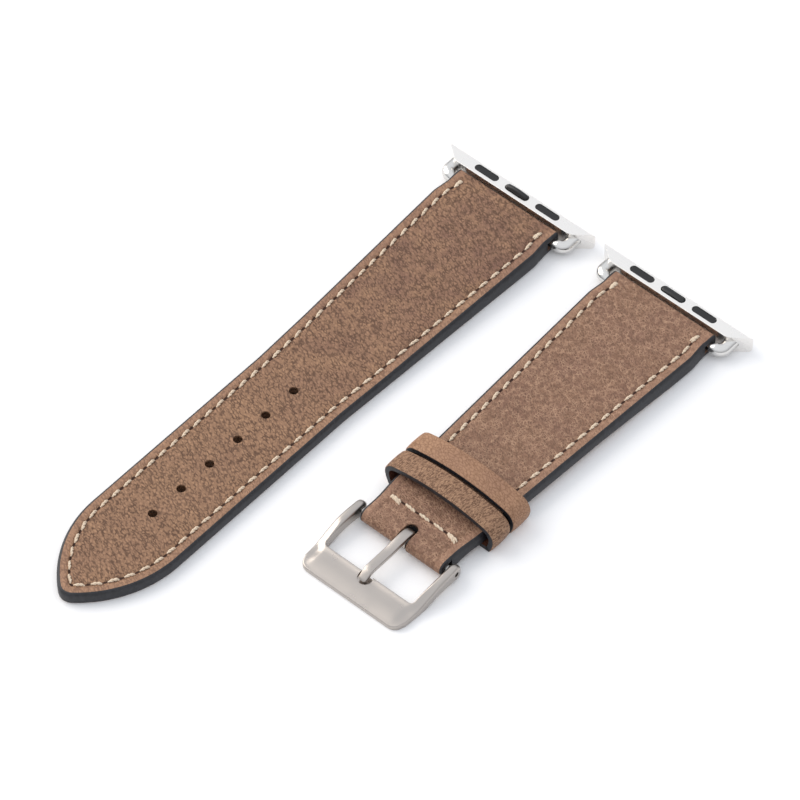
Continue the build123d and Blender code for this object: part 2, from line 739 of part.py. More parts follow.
# Tube of the spring bar, with narrower ends that hold the tips
tube_half = half_frame - tube_end_gap
with BuildPart() as spring_bar_tube:
    with BuildSketch(Plane.YZ.offset(buckle_x)):
        with Locations((y_at(spring_bar_at), spring_bar_height)):
            Circle(tube_radius)
    extrude(amount=tube_half, both=True)
    with BuildSketch(Plane.YZ.offset(buckle_x)):
        with Locations((y_at(spring_bar_at), spring_bar_height)):
            Circle(tube_bore_radius)
    extrude(amount=tube_half - tube_end_wall, both=True, mode=Mode.SUBTRACT)
    with BuildSketch(Plane.YZ.offset(buckle_x)):
        with Locations((y_at(spring_bar_at), spring_bar_height)):
            Circle(tip_pin_radius + tip_pin_clearance)
    extrude(amount=tube_half, both=True, mode=Mode.SUBTRACT)
spring_bar_tube.part.label = "spring_bar_tube"
export_step(spring_bar_tube.part, "parts/spring_bar_tube.step")

# Two tips that slide in the tube and reach into the ears
head_end = tube_half - tube_end_wall - tip_slide_gap
tip_end = half_frame + tip_reach
for tip_name, side in (("spring_bar_tip_left", -1), ("spring_bar_tip_right", 1)):
    with BuildPart() as bar_tip:
        with BuildSketch(Plane.YZ.offset(buckle_x + side * (head_end - tip_head_length))):
            with Locations((y_at(spring_bar_at), spring_bar_height)):
                Circle(tip_head_radius)
        extrude(amount=side * tip_head_length)
        with BuildSketch(Plane.YZ.offset(buckle_x + side * head_end)):
            with Locations((y_at(spring_bar_at), spring_bar_height)):
                Circle(tip_pin_radius)
        extrude(amount=side * (tip_end - head_end))
    bar_tip.part.label = tip_name
    export_step(bar_tip.part, f"parts/{tip_name}.step")

# Spring inside the tube, drawn as a sleeve that ends where the pressed tips stop
with BuildPart() as spring_bar_spring:
    with BuildSketch(Plane.YZ.offset(buckle_x)):
        with Locations((y_at(spring_bar_at), spring_bar_height)):
            Circle(bar_spring_radius)
            Circle(bar_spring_radius - bar_spring_wall, mode=Mode.SUBTRACT)
    extrude(amount=head_end - tip_head_length - tip_travel - tip_slide_gap, both=True)
spring_bar_spring.part.label = "spring_bar_spring"
export_step(spring_bar_spring.part, "parts/spring_bar_spring.step")

# Tongue: an eye round the spring bar, a high heel, a level run past the kink and a drop to the plate
with BuildPart() as tongue:
    eye_hole = tube_radius + tube_running_gap
    eye_radius = eye_hole + tongue_eye_wall
    with BuildSketch(Plane.YZ.offset(buckle_x)):
        with BuildLine():
            eye_top = turned(spring_bar_at, spring_bar_height, eye_radius, tongue_root_angle)
            eye_low = turned(spring_bar_at, spring_bar_height, eye_radius, tongue_throat_angle)
            Polyline(
                *side_points(
                    [
                        (tongue_kink_at - tongue_thickness / 2, tongue_kink_height - tongue_thickness),
                        (tongue_bend_at - tongue_thickness / 2, tongue_bend_height - tongue_thickness),
                        (tongue_tip_at, tongue_tip_height - tongue_tip_thickness),
                        (tongue_tip_at, tongue_tip_height),
                        (tongue_bend_at, tongue_bend_height),
                        (tongue_kink_at, tongue_kink_height),
                        tongue_heel,
                    ]
                )
            )
            Line((y_at(tongue_heel[0]), tongue_heel[1]), eye_top)
            Line(eye_top, (y_at(spring_bar_at), spring_bar_height))
            Line((y_at(spring_bar_at), spring_bar_height), eye_low)
            Line(
                eye_low,
                (y_at(tongue_kink_at - tongue_thickness / 2), tongue_kink_height - tongue_thickness),
            )
        make_face()
        with Locations((y_at(spring_bar_at), spring_bar_height)):
            Circle(eye_radius)
            Circle(eye_hole, mode=Mode.SUBTRACT)
    extrude(amount=tongue_width / 2, both=True)
tongue.part.label = "tongue"
export_step(tongue.part, "parts/tongue.step")
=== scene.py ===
"""A two-piece leather watch strap laid out flat: tail half, buckle half and their two lug adapters."""
import logging
from abc import ABC, abstractmethod
from dataclasses import dataclass, field
from enum import Enum
from functools import partial
from math import acos, asin, atan2, cos, dist, hypot, pi, radians, sin, sqrt
from typing import Callable, Iterable, Sequence

import bmesh
import bpy
import numpy as np
from bpy.types import ID, Material, Mesh, Node, NodeSocket, NodeTree, Object
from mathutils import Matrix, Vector


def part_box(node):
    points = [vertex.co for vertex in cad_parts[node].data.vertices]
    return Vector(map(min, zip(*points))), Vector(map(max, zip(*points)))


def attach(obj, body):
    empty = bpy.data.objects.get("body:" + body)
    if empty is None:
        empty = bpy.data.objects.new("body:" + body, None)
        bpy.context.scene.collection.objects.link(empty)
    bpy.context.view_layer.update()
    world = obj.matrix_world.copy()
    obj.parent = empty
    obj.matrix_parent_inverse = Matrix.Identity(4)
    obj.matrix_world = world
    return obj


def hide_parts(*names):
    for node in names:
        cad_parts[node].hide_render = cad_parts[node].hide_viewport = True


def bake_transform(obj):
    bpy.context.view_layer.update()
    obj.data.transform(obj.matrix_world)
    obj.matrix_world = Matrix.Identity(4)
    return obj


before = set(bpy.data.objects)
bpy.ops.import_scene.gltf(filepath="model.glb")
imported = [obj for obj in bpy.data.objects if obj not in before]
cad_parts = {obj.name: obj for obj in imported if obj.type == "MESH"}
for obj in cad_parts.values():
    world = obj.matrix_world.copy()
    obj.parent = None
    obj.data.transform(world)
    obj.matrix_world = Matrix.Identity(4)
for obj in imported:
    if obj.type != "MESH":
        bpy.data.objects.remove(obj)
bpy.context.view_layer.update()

MM = 0.001
LOG = logging.getLogger("strap")
SHARP = 50.0  # degrees; leather and lofted steel stay smooth up to this
CUT_LOW, CUT_HIGH = -1.0, 6.0  # heights between which a cutter reaches

Point = tuple[float, float]
Spot = tuple[float, float, float]
Row = tuple[float, ...]
Rgba = tuple[float, float, float, float]
Stitch = tuple[Vector, Vector, Vector]
Add = Callable[..., Node]


def colour(text: str) -> Rgba:
    """Turns an sRGB hex colour into the linear colour that a shader takes.

    Args:
        text: six hex digits.

    Returns:
        Linear red, green, blue and an alpha of one.
    """
    parts = [int(text[at:at + 2], 16) / 255 for at in (0, 2, 4)]
    linear = [c / 12.92 if c <= 0.04045 else ((c + 0.055) / 1.055) ** 2.4 for c in parts]
    return (linear[0], linear[1], linear[2], 1.0)


def feed(node: Node, inputs: dict) -> None:
    """Sets or links a node's inputs.

    Args:
        node: the node.
        inputs: socket name or number, to a value, a socket, or a node whose first live output feeds it.
    """
    for key, value in inputs.items():
        if isinstance(value, Node):
            value = next(socket for socket in value.outputs if socket.enabled)
        if isinstance(value, NodeSocket):
            node.id_data.links.new(value, node.inputs[key])
        else:
            node.inputs[key].default_value = value


def add_node(tree: NodeTree, kind: str, inputs: dict | None = None, **settings: object) -> Node:
    """Adds a node, sets it up and links it.

    Args:
        tree: the node tree it goes into.
        kind: Blender's name for the node type.
        inputs: its inputs, as feed takes them.
        settings: the node's own properties.

    Returns:
        The new node.
    """
    node = tree.nodes.new(kind)
    for name, value in settings.items():
        setattr(node, name, value)
    feed(node, inputs or {})
    return node


class Slot(Enum):
    """The record's material slots."""

    TOP = "top_leather"
    LINING = "lining_leather"
    FILLER = "filler_leather"
    KEEPER = "keeper_leather"
    THREAD = "thread"
    ADAPTER = "adapter_metal"
    WIRE = "bail_wire"
    BUCKLE = "buckle_steel"
    SPRING = "spring_steel"
    BUTTON = "black_button"


def start_material(name: str) -> tuple[Material, Add, NodeSocket, Node]:
    """Makes an empty material.

    Args:
        name: the finish's name.

    Returns:
        The material, add_node for its tree, the socket of the object's own coordinates, and the surface shader.
    """
    material = bpy.data.materials.new(name)
    material.use_nodes = True
    material.node_tree.nodes.clear()
    add = partial(add_node, material.node_tree)
    shader = add("ShaderNodeBsdfPrincipled")
    add("ShaderNodeOutputMaterial", {"Surface": shader})
    return material, add, add("ShaderNodeTexCoord").outputs["Object"], shader


@dataclass(frozen=True)
class GrainLeather:
    """Drum-dyed calf with a fine pebble grain: soft sheen, pale cells with painted shade in the creases round them, and
    a cloudy dye.
    """

    name: str
    base: str = "aa8467"
    # dark: colour of the painted shade in the grain's creases
    dark: str = "4f382b"
    light: str = "c09c80"
    cloud: str = "7c5a50"
    margin: str = "b58d75"
    # painted shade: colour of the awl slits, dark as the shade in their holes
    slit_shade: str = "31190f"
    cell_mm: float = 0.45  # calf has pebbles of 0.2 to 0.4 mm; drawn a little coarser so that they show
    crease_mm: float = 0.2
    grain_turn: float = -22.0
    grain_stretch: float = 1.9
    crease_share: float = 0.9
    dash_mm: float = 0.5
    dash_stretch: float = 2.0
    dash_share: float = 0.6
    vein_mm: float = 1.15
    vein_width_mm: float = 0.1
    vein_share: float = 0.0
    wander_mm: float = 0.35
    wander_over_mm: float = 1.1
    patch_mm: float = 1.6
    cloud_mm: float = 7.0
    cloud_share: float = 0.35
    lug_cloud: float = 0.0
    lug_y: Point = (0.0, 1.0)
    relief_mm: float = 0.1
    roughness: float = 0.55
    pitch_mm: float = 3.0
    slit_half: Point = (0.46, 0.19)
    sewn: bool = True

    def build(self) -> Material:
        """Builds the node tree.

        Returns:
            The material.
        """
        material, add, place, shader = start_material(self.name)
        wander = add("ShaderNodeTexNoise", {"Vector": place, "Scale": 1 / (self.wander_over_mm * MM), "Detail": 2.0})
        shift = add("ShaderNodeVectorMath", {0: wander.outputs["Color"], 1: (0.5, 0.5, 0.5)}, operation="SUBTRACT")
        bend = self.wander_mm * MM
        warped = add("ShaderNodeVectorMath", {0: shift, 1: (bend, bend, bend), 2: place}, operation="MULTIPLY_ADD")
        laid, drawn_out = (
            add("ShaderNodeMapping", {
                "Vector": warped, "Rotation": (0.0, 0.0, radians(self.grain_turn)), "Scale": (stretch, 1.0, 1.0)},
                vector_type="TEXTURE")
            for stretch in (self.grain_stretch, self.dash_stretch))
        patches = add("ShaderNodeTexNoise", {"Vector": laid, "Scale": 1 / (self.patch_mm * MM), "Detail": 4.0})
        patchy = add("ShaderNodeMapRange", {
            "Value": patches, "From Min": 0.36, "From Max": 0.6, "To Min": 0.85, "To Max": 1.0})
        crease = self.net(add, laid, self.cell_mm, self.crease_mm, 1.0)
        dashes = add("ShaderNodeTexNoise", {
            "Vector": drawn_out, "Scale": 1 / (self.dash_mm * MM), "Detail": 2.0, "Roughness": 0.6})
        dashed = add("ShaderNodeMapRange", {
            "Value": dashes, "From Min": 0.58, "From Max": 0.42, "To Min": 1 - self.dash_share,
            "To Max": 1.0}, interpolation_type="SMOOTHSTEP")
        cracked = add("ShaderNodeMath", {0: crease, 1: dashed}, operation="MULTIPLY")
        depth = add("ShaderNodeMath", {0: cracked, 1: patchy}, operation="MULTIPLY")
        crease_shade = add("ShaderNodeMath", {0: depth, 1: self.crease_share}, operation="MULTIPLY")
        cloud = add("ShaderNodeTexNoise", {
            "Vector": place, "Scale": 1 / (self.cloud_mm * MM), "Detail": 5.0, "Roughness": 0.66})
        along = add("ShaderNodeSeparateXYZ", {0: place}).outputs[1]
        lugward = add("ShaderNodeMapRange", {
            "Value": along, "From Min": self.lug_y[0] * MM, "From Max": self.lug_y[1] * MM,
            "To Min": self.cloud_share, "To Max": self.cloud_share + self.lug_cloud},
            interpolation_type="SMOOTHSTEP")
        cloudy = add("ShaderNodeMapRange", {"Value": cloud, "From Min": 0.36, "From Max": 0.66})
        blush = add("ShaderNodeMath", {0: cloudy, 1: lugward}, operation="MULTIPLY")
        ground = add(
            "ShaderNodeMix", {"Factor": blush, "A": colour(self.base), "B": colour(self.cloud)}, data_type="RGBA")
        # painted shade: the grain's creases are darkened in the colour where they sink
        creased = add("ShaderNodeMix", {"Factor": crease_shade, "A": ground, "B": colour(self.dark)}, data_type="RGBA")
        coarse = self.net(add, warped, self.vein_mm, self.vein_width_mm, self.vein_share)
        fine = self.net(add, laid, 0.45 * self.vein_mm, 0.7 * self.vein_width_mm, 0.7 * self.vein_share)
        vein = add("ShaderNodeMath", {0: coarse, 1: fine}, operation="MAXIMUM")
        broken = add("ShaderNodeMapRange", {"Value": wander, "From Min": 0.38, "From Max": 0.6, "To Min": 0.15})
        drawn = add("ShaderNodeMath", {0: vein, 1: broken}, operation="MULTIPLY")
        veined = add("ShaderNodeMix", {"Factor": drawn, "A": creased, "B": colour(self.light)}, data_type="RGBA")
        sunk = add("ShaderNodeMath", {0: depth, 1: -1.0, 2: 1.0}, operation="MULTIPLY_ADD")
        height = add("ShaderNodeMath", {0: patches, 1: 0.8, 2: sunk}, operation="MULTIPLY_ADD")
        if self.sewn:
            veined, height = self.sew(add, veined, height)
        bump = add("ShaderNodeBump", {"Strength": 0.7, "Distance": self.relief_mm * MM, "Height": height})
        rough = add(
            "ShaderNodeMapRange", {"Value": patches, "To Min": self.roughness - 0.1, "To Max": self.roughness + 0.12})
        feed(shader, {
            "Base Color": veined, "Roughness": rough, "Normal": bump, "IOR": 1.45, "Specular IOR Level": 0.3})
        return material

    def net(self, add: Add, place: Node, cell_mm: float, line_mm: float, share: float) -> Node:
        """Adds a net of soft lines between irregular cells.

        Args:
            add: add_node for the material's tree.
            place: the coordinates.
            cell_mm: size of a cell.
            line_mm: half width of a line.
            share: its strength on the line.

        Returns:
            The strength, which falls to zero inside the cells.
        """
        cells = add(
            "ShaderNodeTexVoronoi", {"Vector": place, "Scale": 1 / (cell_mm * MM)}, feature="DISTANCE_TO_EDGE")
        return add("ShaderNodeMapRange", {
            "Value": cells, "From Min": 0.0, "From Max": line_mm / cell_mm, "To Min": share,
            "To Max": 0.0}, interpolation_type="SMOOTHSTEP")

    def sew(self, add: Add, skin: Node, height: Node) -> tuple[Node, Node]:
        """Adds the smoother margin outside the seam and the awl slits between the stitches, painted dark as the shade
        in their holes.

        Args:
            add: add_node for the material's tree.
            skin: the colour so far.
            height: the relief so far.

        Returns:
            The new colour and relief.
        """
        slits = None
        inward = None
        for row in ("seam", "cross"):
            spot = add("ShaderNodeAttribute", attribute_name=row)
            parts = add("ShaderNodeSeparateXYZ", {0: spot.outputs["Vector"]})
            inward = inward or parts.outputs[1]
            part = add("ShaderNodeMath", {0: parts}, operation="FRACT")
            run = add(
                "ShaderNodeMath", {0: part, 1: self.pitch_mm, 2: -0.5 * self.pitch_mm}, operation="MULTIPLY_ADD")
            flat = add("ShaderNodeCombineXYZ", {0: run, 1: parts.outputs[1]})
            squeezed = add(
                "ShaderNodeVectorMath", {0: flat, 1: (1 / self.slit_half[0], 1 / self.slit_half[1], 0.0)},
                operation="MULTIPLY")
            reach = add("ShaderNodeVectorMath", {0: squeezed}, operation="LENGTH")
            slit = add("ShaderNodeMapRange", {
                "Value": reach, "From Min": 0.75, "From Max": 1.5, "To Min": 1.0,
                "To Max": 0.0}, interpolation_type="SMOOTHSTEP")
            held = add("ShaderNodeMath", {0: slit, 1: parts.outputs[2]}, operation="MULTIPLY")
            slits = add("ShaderNodeMath", {0: slits, 1: held}, operation="MAXIMUM") if slits else held
        margin = add(
            "ShaderNodeMapRange", {"Value": inward, "From Min": -0.8, "From Max": -0.2, "To Min": 0.3, "To Max": 0.0},
            interpolation_type="SMOOTHSTEP")
        edged = add("ShaderNodeMix", {"Factor": margin, "A": skin, "B": colour(self.margin)}, data_type="RGBA")
        # painted shade in the awl holes between the stitches
        slitted = add("ShaderNodeMix", {"Factor": slits, "A": edged, "B": colour(self.slit_shade)}, data_type="RGBA")
        sunk = add("ShaderNodeMath", {0: slits, 1: -2.0, 2: height}, operation="MULTIPLY_ADD")
        return slitted, sunk


@dataclass(frozen=True)
class EdgePaint:
    """Burnished acrylic edge paint on leather: near-black, slightly uneven, with a soft bluish highlight."""

    name: str = "edge_paint"
    tint: str = "1b1b1f"
    worn: str = "2b2b30"
    ripple_mm: float = 0.9
    roughness: float = 0.5

    def build(self) -> Material:
        """Builds the node tree.

        Returns:
            The material.
        """
        material, add, place, shader = start_material(self.name)
        ripple = add("ShaderNodeTexNoise", {"Vector": place, "Scale": 1 / (self.ripple_mm * MM), "Detail": 3.0})
        tone = add("ShaderNodeMapRange", {"Value": ripple, "From Min": 0.4, "From Max": 0.7})
        mixed = add(
            "ShaderNodeMix", {"Factor": tone, "A": colour(self.tint), "B": colour(self.worn)}, data_type="RGBA")
        bump = add("ShaderNodeBump", {"Strength": 0.35, "Distance": 0.05 * MM, "Height": ripple})
        rough = add(
            "ShaderNodeMapRange", {"Value": ripple, "To Min": self.roughness - 0.08, "To Max": self.roughness + 0.12})
        feed(shader, {"Base Color": mixed, "Roughness": rough, "Normal": bump})
        return material


@dataclass(frozen=True)
class WaxedThread:
    """Waxed linen thread: cream, with fine fibres along each ply and darker dirt in the lay."""

    name: str = "waxed_thread"
    tint: str = "e3d0b8"
    shade: str = "b89d80"
    fibre_mm: float = 0.16  # linen fibres are 0.02 mm thick; drawn coarser so that they show

    def build(self) -> Material:
        """Builds the node tree.

        Returns:
            The material.
        """
        material, add, place, shader = start_material(self.name)
        fibre = add("ShaderNodeTexNoise", {"Vector": place, "Scale": 1 / (self.fibre_mm * MM), "Detail": 2.0})
        tone = add("ShaderNodeMapRange", {"Value": fibre, "From Min": 0.48, "From Max": 0.75})
        mixed = add(
            "ShaderNodeMix", {"Factor": tone, "A": colour(self.tint), "B": colour(self.shade)}, data_type="RGBA")
        bump = add("ShaderNodeBump", {"Strength": 0.4, "Distance": 0.03 * MM, "Height": fibre})
        feed(shader, {"Base Color": mixed, "Normal": bump, "Roughness": 0.6, "Sheen Weight": 0.25})
        return material


@dataclass(frozen=True)
class BlastedSteel:
    """Stainless steel, bead-blasted or finely satined: a soft even grey with a silky highlight and faint mottling."""

    name: str
    tint: str = "d8d5d1"
    roughness: float = 0.3
    grit_mm: float = 0.12  # bead marks are 0.03 mm wide; drawn coarser so that they show
    cloud_mm: float = 3.0
    relief: float = 0.1

    def build(self) -> Material:
        """Builds the node tree.

        Returns:
            The material.
        """
        material, add, place, shader = start_material(self.name)
        grit = add("ShaderNodeTexNoise", {"Vector": place, "Scale": 1 / (self.grit_mm * MM), "Detail": 2.0})
        cloud = add("ShaderNodeTexNoise", {"Vector": place, "Scale": 1 / (self.cloud_mm * MM), "Detail": 2.0})
        rough = add("ShaderNodeMapRange", {
            "Value": cloud, "From Min": 0.3, "From Max": 0.7, "To Min": self.roughness - 0.03,
            "To Max": self.roughness + 0.04})
        bump = add("ShaderNodeBump", {"Strength": self.relief, "Distance": 0.01 * MM, "Height": grit})
        feed(shader, {"Base Color": colour(self.tint), "Metallic": 1.0, "Roughness": rough, "Normal": bump})
        return material


@dataclass(frozen=True)
class BlackMoulding:
    """Moulded black rubber or plastic: near-black with a fine matt grain and a soft sheen on its rounded rim."""

    name: str
    tint: str = "141416"
    roughness: float = 0.45
    grain_mm: float = 0.2  # an eroded mould leaves a grain of 0.05 mm; drawn coarser so that it shows

    def build(self) -> Material:
        """Builds the node tree.

        Returns:
            The material.
        """
        material, add, place, shader = start_material(self.name)
        grain = add("ShaderNodeTexNoise", {"Vector": place, "Scale": 1 / (self.grain_mm * MM), "Detail": 2.0})
        bump = add("ShaderNodeBump", {"Strength": 0.2, "Distance": 0.02 * MM, "Height": grain})
        rough = add(
            "ShaderNodeMapRange", {"Value": grain, "To Min": self.roughness - 0.08, "To Max": self.roughness + 0.1})
        feed(shader, {"Base Color": colour(self.tint), "Roughness": rough, "Normal": bump})
        return material


def loft(rings: Sequence[Sequence[Sequence[float]]], around: bool = False) -> tuple[np.ndarray, list[list[int]]]:
    """Joins closed rings of points into a tube.

    Args:
        rings: the rings, with as many points each.
        around: whether the last ring joins the first, so that no end needs a face.

    Returns:
        The points and the faces, with the faces of both ends last.
    """
    points = np.array(rings, dtype=float)
    total, count = points.shape[:2]
    faces = []
    for row in range(total if around else total - 1):
        following = (row + 1) % total * count
        for i in range(count):
            j = (i + 1) % count
            faces.append([row * count + i, row * count + j, following + j, following + i])
    if not around:
        faces += [list(range(count))[::-1], list(range((total - 1) * count, total * count))]
    return points.reshape(-1, 3), faces


def put_in(name: str, data: ID) -> Object:
    """Links a new object that shows a mesh, a lamp or a camera.

    Args:
        name: the object's name.
        data: what it shows.

    Returns:
        The object.
    """
    thing = bpy.data.objects.new(name, data)
    bpy.context.scene.collection.objects.link(thing)
    return thing


def mesh_piece(name: str, vertices: np.ndarray, faces: Sequence[Sequence[int]],
               materials: Sequence[Material], slots: Sequence[int] | None = None,
               sharp: float = 45.0) -> Object:
    """Makes one closed piece from points in millimetres.

    Args:
        name: the piece's name.
        vertices: its points, in millimetres.
        faces: its faces, as lists of point numbers.
        materials: its materials.
        slots: one material number for each face, where it has more than one.
        sharp: an edge that turns by more degrees than this is drawn sharp.

    Returns:
        The linked object, with doubles merged and faces outward.
    """
    data = bpy.data.meshes.new(name)
    data.from_pydata([tuple(v) for v in vertices * MM], [], [tuple(f) for f in faces])
    for material in materials:
        data.materials.append(material)
    if slots is not None:
        data.polygons.foreach_set("material_index", np.array(slots, dtype=np.int32))
    work = bmesh.new()
    work.from_mesh(data)
    bmesh.ops.remove_doubles(work, verts=work.verts, dist=0.002 * MM)
    bmesh.ops.dissolve_degenerate(work, edges=work.edges, dist=0.0005 * MM)
    bmesh.ops.recalc_face_normals(work, faces=work.faces)
    work.to_mesh(data)
    work.free()
    piece = put_in(name, data)
    smooth(piece, sharp)
    return piece


def smooth(piece: Object, sharp: float) -> None:
    """Draws a piece smooth, but for its sharp edges.

    Args:
        piece: the piece.
        sharp: an edge that turns by more degrees than this stays sharp.
    """
    piece.data.polygons.foreach_set("use_smooth", [True] * len(piece.data.polygons))
    piece.data.set_sharp_from_angle(angle=radians(sharp))
    piece.data.update()


def settle(piece: Object) -> None:
    """Turns a piece with modifiers into a plain mesh, in place.

    Args:
        piece: the piece.
    """
    bpy.context.view_layer.update()
    graph = bpy.context.evaluated_depsgraph_get()
    done = bpy.data.meshes.new_from_object(piece.evaluated_get(graph), preserve_all_data_layers=True, depsgraph=graph)
    piece.modifiers.clear()
    old = piece.data
    piece.data = done
    bpy.data.meshes.remove(old)


def cut(piece: Object, cutter: Object) -> None:
    """Takes a cutter's shape out of a piece, and leaves the cutter as it is.

    Args:
        piece: what is cut.
        cutter: what it is cut with.
    """
    tool = piece.modifiers.new("cut", "BOOLEAN")
    tool.operation = "DIFFERENCE"
    tool.solver = "EXACT"
    tool.object = cutter
    settle(piece)


def prism(name: str, outline: Sequence[Point], low: float, high: float) -> Object:
    """Makes an upright prism, used as a cutter.

    Args:
        name: its name.
        outline: its corners in order, in millimetres.
        low: height of its underside.
        high: height of its top.

    Returns:
        The prism.
    """
    return mesh_piece(name, *loft([[(x, y, z) for x, y in outline] for z in (low, high)]), [])


def put_away(piece: Object) -> None:
    """Deletes a cutter and its mesh.

    Args:
        piece: the cutter.
    """
    data = piece.data
    bpy.data.objects.remove(piece)
    bpy.data.meshes.remove(data)


def dress(piece: Object, body: str, nodes: Iterable[str]) -> None:
    """Lets a finished piece ride on its body and stand for its CAD nodes.

    Args:
        piece: the piece.
        body: the body it rides on.
        nodes: the CAD nodes that it replaces.
    """
    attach(piece, body)
    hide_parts(*nodes)
    LOG.info("%s rides on %s for %s", piece.name, body, ", ".join(nodes))


@dataclass
class StrapHalf(ABC):
    """One leather half: skin round the bail, painted edges, lining and seams. Places run from the slots' line."""

    name: str = ""
    body: str = ""
    centre_x: float = 0.0
    slots_y: float = 0.0
    widths: tuple[Point, ...] = ()
    top: tuple[Point, ...] = ()
    under: tuple[Point, ...] = ()
    parallel_end: float = 101.0
    skin: float = 0.8
    lining: float = 0.8
    bar_at: float = 3.9
    bar_height: float = 1.85
    loop_radius: float = 1.7
    turn_in_end: float = 14.0
    slab_start: float = 5.2
    skin_inset: float = 0.1
    edge_round: float = 0.42
    seam_inset: float = 2.15
    seam_depth: float = 0.14
    groove_half: float = 0.42
    puff: float = 0.1
    puff_run: float = 2.6
    margin_rise: float = 0.05
    margin_at: float = 1.1
    margin_half: float = 0.55
    fold_droop: float = 0.25
    core_gap: float = 0.1
    core_drop: float = 0.24
    inset_start: float = 4.5
    relief_run: float = 1.5
    seam_lead: float = 1.2
    top_side: float = 1.5
    first_stitch: float = 5.2
    pitch: float = 3.0
    second_shift: Point = (0.22, -9.0)
    stitch_reach: float = 0.9
    slants: dict[int, float] = field(default_factory=lambda: {-1: 7.0, 1: -3.0})
    row_step: float = 0.375
    arc_rows: int = 19
    turned_rows: int = 10
    edge_steps: Row = (
        0, 0.04, 0.1, 0.19, 0.3, 0.42, 0.7, 1.1, 1.45, 1.7, 1.9, 2.05, 2.2, 2.4, 2.65, 2.95, 3.4, 4.0, 4.8, 6.0)
    middle_steps: Row = (0.25, 0.5, 0.75, 1.0)
    painted_columns: int = 5
    loop_square: float = 5.0
    loop_forward: float = 0.12
    slab_profile: tuple[Point, ...] = (
        (-0.4, 0.0), (-0.12, 0.01), (-0.02, 0.08), (0.05, 0.25), (0.08, 0.5), (0.05, 0.75), (-0.02, 0.92),
        (-0.12, 0.99), (-0.4, 1.0))
    lining_profile: tuple[Point, ...] = ((-0.45, 0.0), (-0.25, 0.03), (-0.14, 0.12), (-0.1, 0.3), (-0.1, 1.0))
    finishes: dict[str, Material] = field(default_factory=dict)

    def y_at(self, place: float) -> float:
        """Global Y of a place."""
        return self.slots_y - place

    def half_width(self, place: float) -> float:
        """Half the strap's width at a place."""
        return float(np.interp(place, *zip(*self.widths)))

    def top_at(self, place: float) -> float:
        """Height of the top surface at a place."""
        return float(np.interp(place, *zip(*self.top)))

    def under_at(self, place: float) -> float:
        """Height of the underside at a place."""
        return float(np.interp(place, *zip(*self.under)))

    def arc(self, centre: Point, radius: float, start: float, end: float, count: int) -> list[Row]:
        """Rows of the skin round a bar.

        Args:
            centre: place and height of the bar.
            radius: radius of the skin's outer surface.
            start: first angle in degrees, from the far end.
            end: last angle.
            count: number of rows.

        Returns:
            Rows as place, height, outward direction along and up, and share of the relief.
        """
        rows = []
        for angle in np.radians(np.linspace(start, end, count)):
            out = (cos(angle), sin(angle))
            swell, forward = 1.0, 1.0
            if out[0] < 0:
                forward += self.loop_forward
                if out[1] > 0:
                    power = self.loop_square
                    swell = (abs(out[0]) ** power + out[1] ** power) ** (-1 / power)
            along = radius * swell * forward * out[0]
            rows.append((centre[0] + along, centre[1] + radius * swell * out[1], *out, 0.0))
        return rows

    def skin_rows(self) -> list[Row]:
        """Rows of the top leather, from its turned-in end below, round the bail and along the top.

        Returns:
            Rows as arc gives them.
        """
        rows = []
        for place in np.linspace(self.turn_in_end, self.bar_at, self.turned_rows)[:-1]:
            rows.append((place, self.under_at(place), 0.0, -1.0, 0.0))
        rows += self.arc((self.bar_at, self.bar_height), self.loop_radius, 270, 90, self.arc_rows)
        count = round((self.top_end() - self.bar_at) / self.row_step)
        for place in np.linspace(self.bar_at, self.top_end(), count + 1)[1:]:
            ramp = min(1.0, (place - self.bar_at) / self.relief_run)
            rows.append((place, self.top_at(place), 0.0, 1.0, ramp))
        return rows

    def top_end(self) -> float:
        """Place where the straight rows of the top end."""
        return self.parallel_end

    def edge_distance(self, across: np.ndarray, place: np.ndarray) -> np.ndarray:
        """Distance in from the strap's outline.

        Args:
            across: how far the points lie from the centre line.
            place: their places.

        Returns:
            The distances.
        """
        return np.interp(place, *zip(*self.widths)) - np.abs(across)

    def seam_place(self, across: np.ndarray, place: np.ndarray) -> np.ndarray:
        """Place along the side seam.

        Args:
            across: not used here.
            place: their places.

        Returns:
            The places, counted in stitches.
        """
        return (place - self.first_stitch) / self.pitch

    def relief(self, inward: np.ndarray) -> np.ndarray:
        """Height of the skin's surface over its plain line: rounded edge, raised margin, seam groove and puffed middle.

        Args:
            inward: distances in from the edge.

        Returns:
            The heights.
        """
        near = np.clip(self.edge_round - inward, 0, self.edge_round)
        rounding = self.edge_round - np.sqrt(self.edge_round ** 2 - near ** 2)
        groove = self.seam_depth * np.exp(-(((inward - self.seam_inset) / self.groove_half) ** 2))
        swell = self.puff * np.clip((inward - self.seam_inset) / self.puff_run, 0, 1) ** 0.7
        margin = self.margin_rise * np.exp(-(((inward - self.margin_at) / self.margin_half) ** 2))
        return margin + swell - rounding - groove

    def across_steps(self, half: float) -> list[float]:
        """Distances in from the edge of the skin's columns, as far as the middle."""
        last = self.edge_steps[-1]
        return [*self.edge_steps, *(last + (half - last) * share for share in self.middle_steps)]

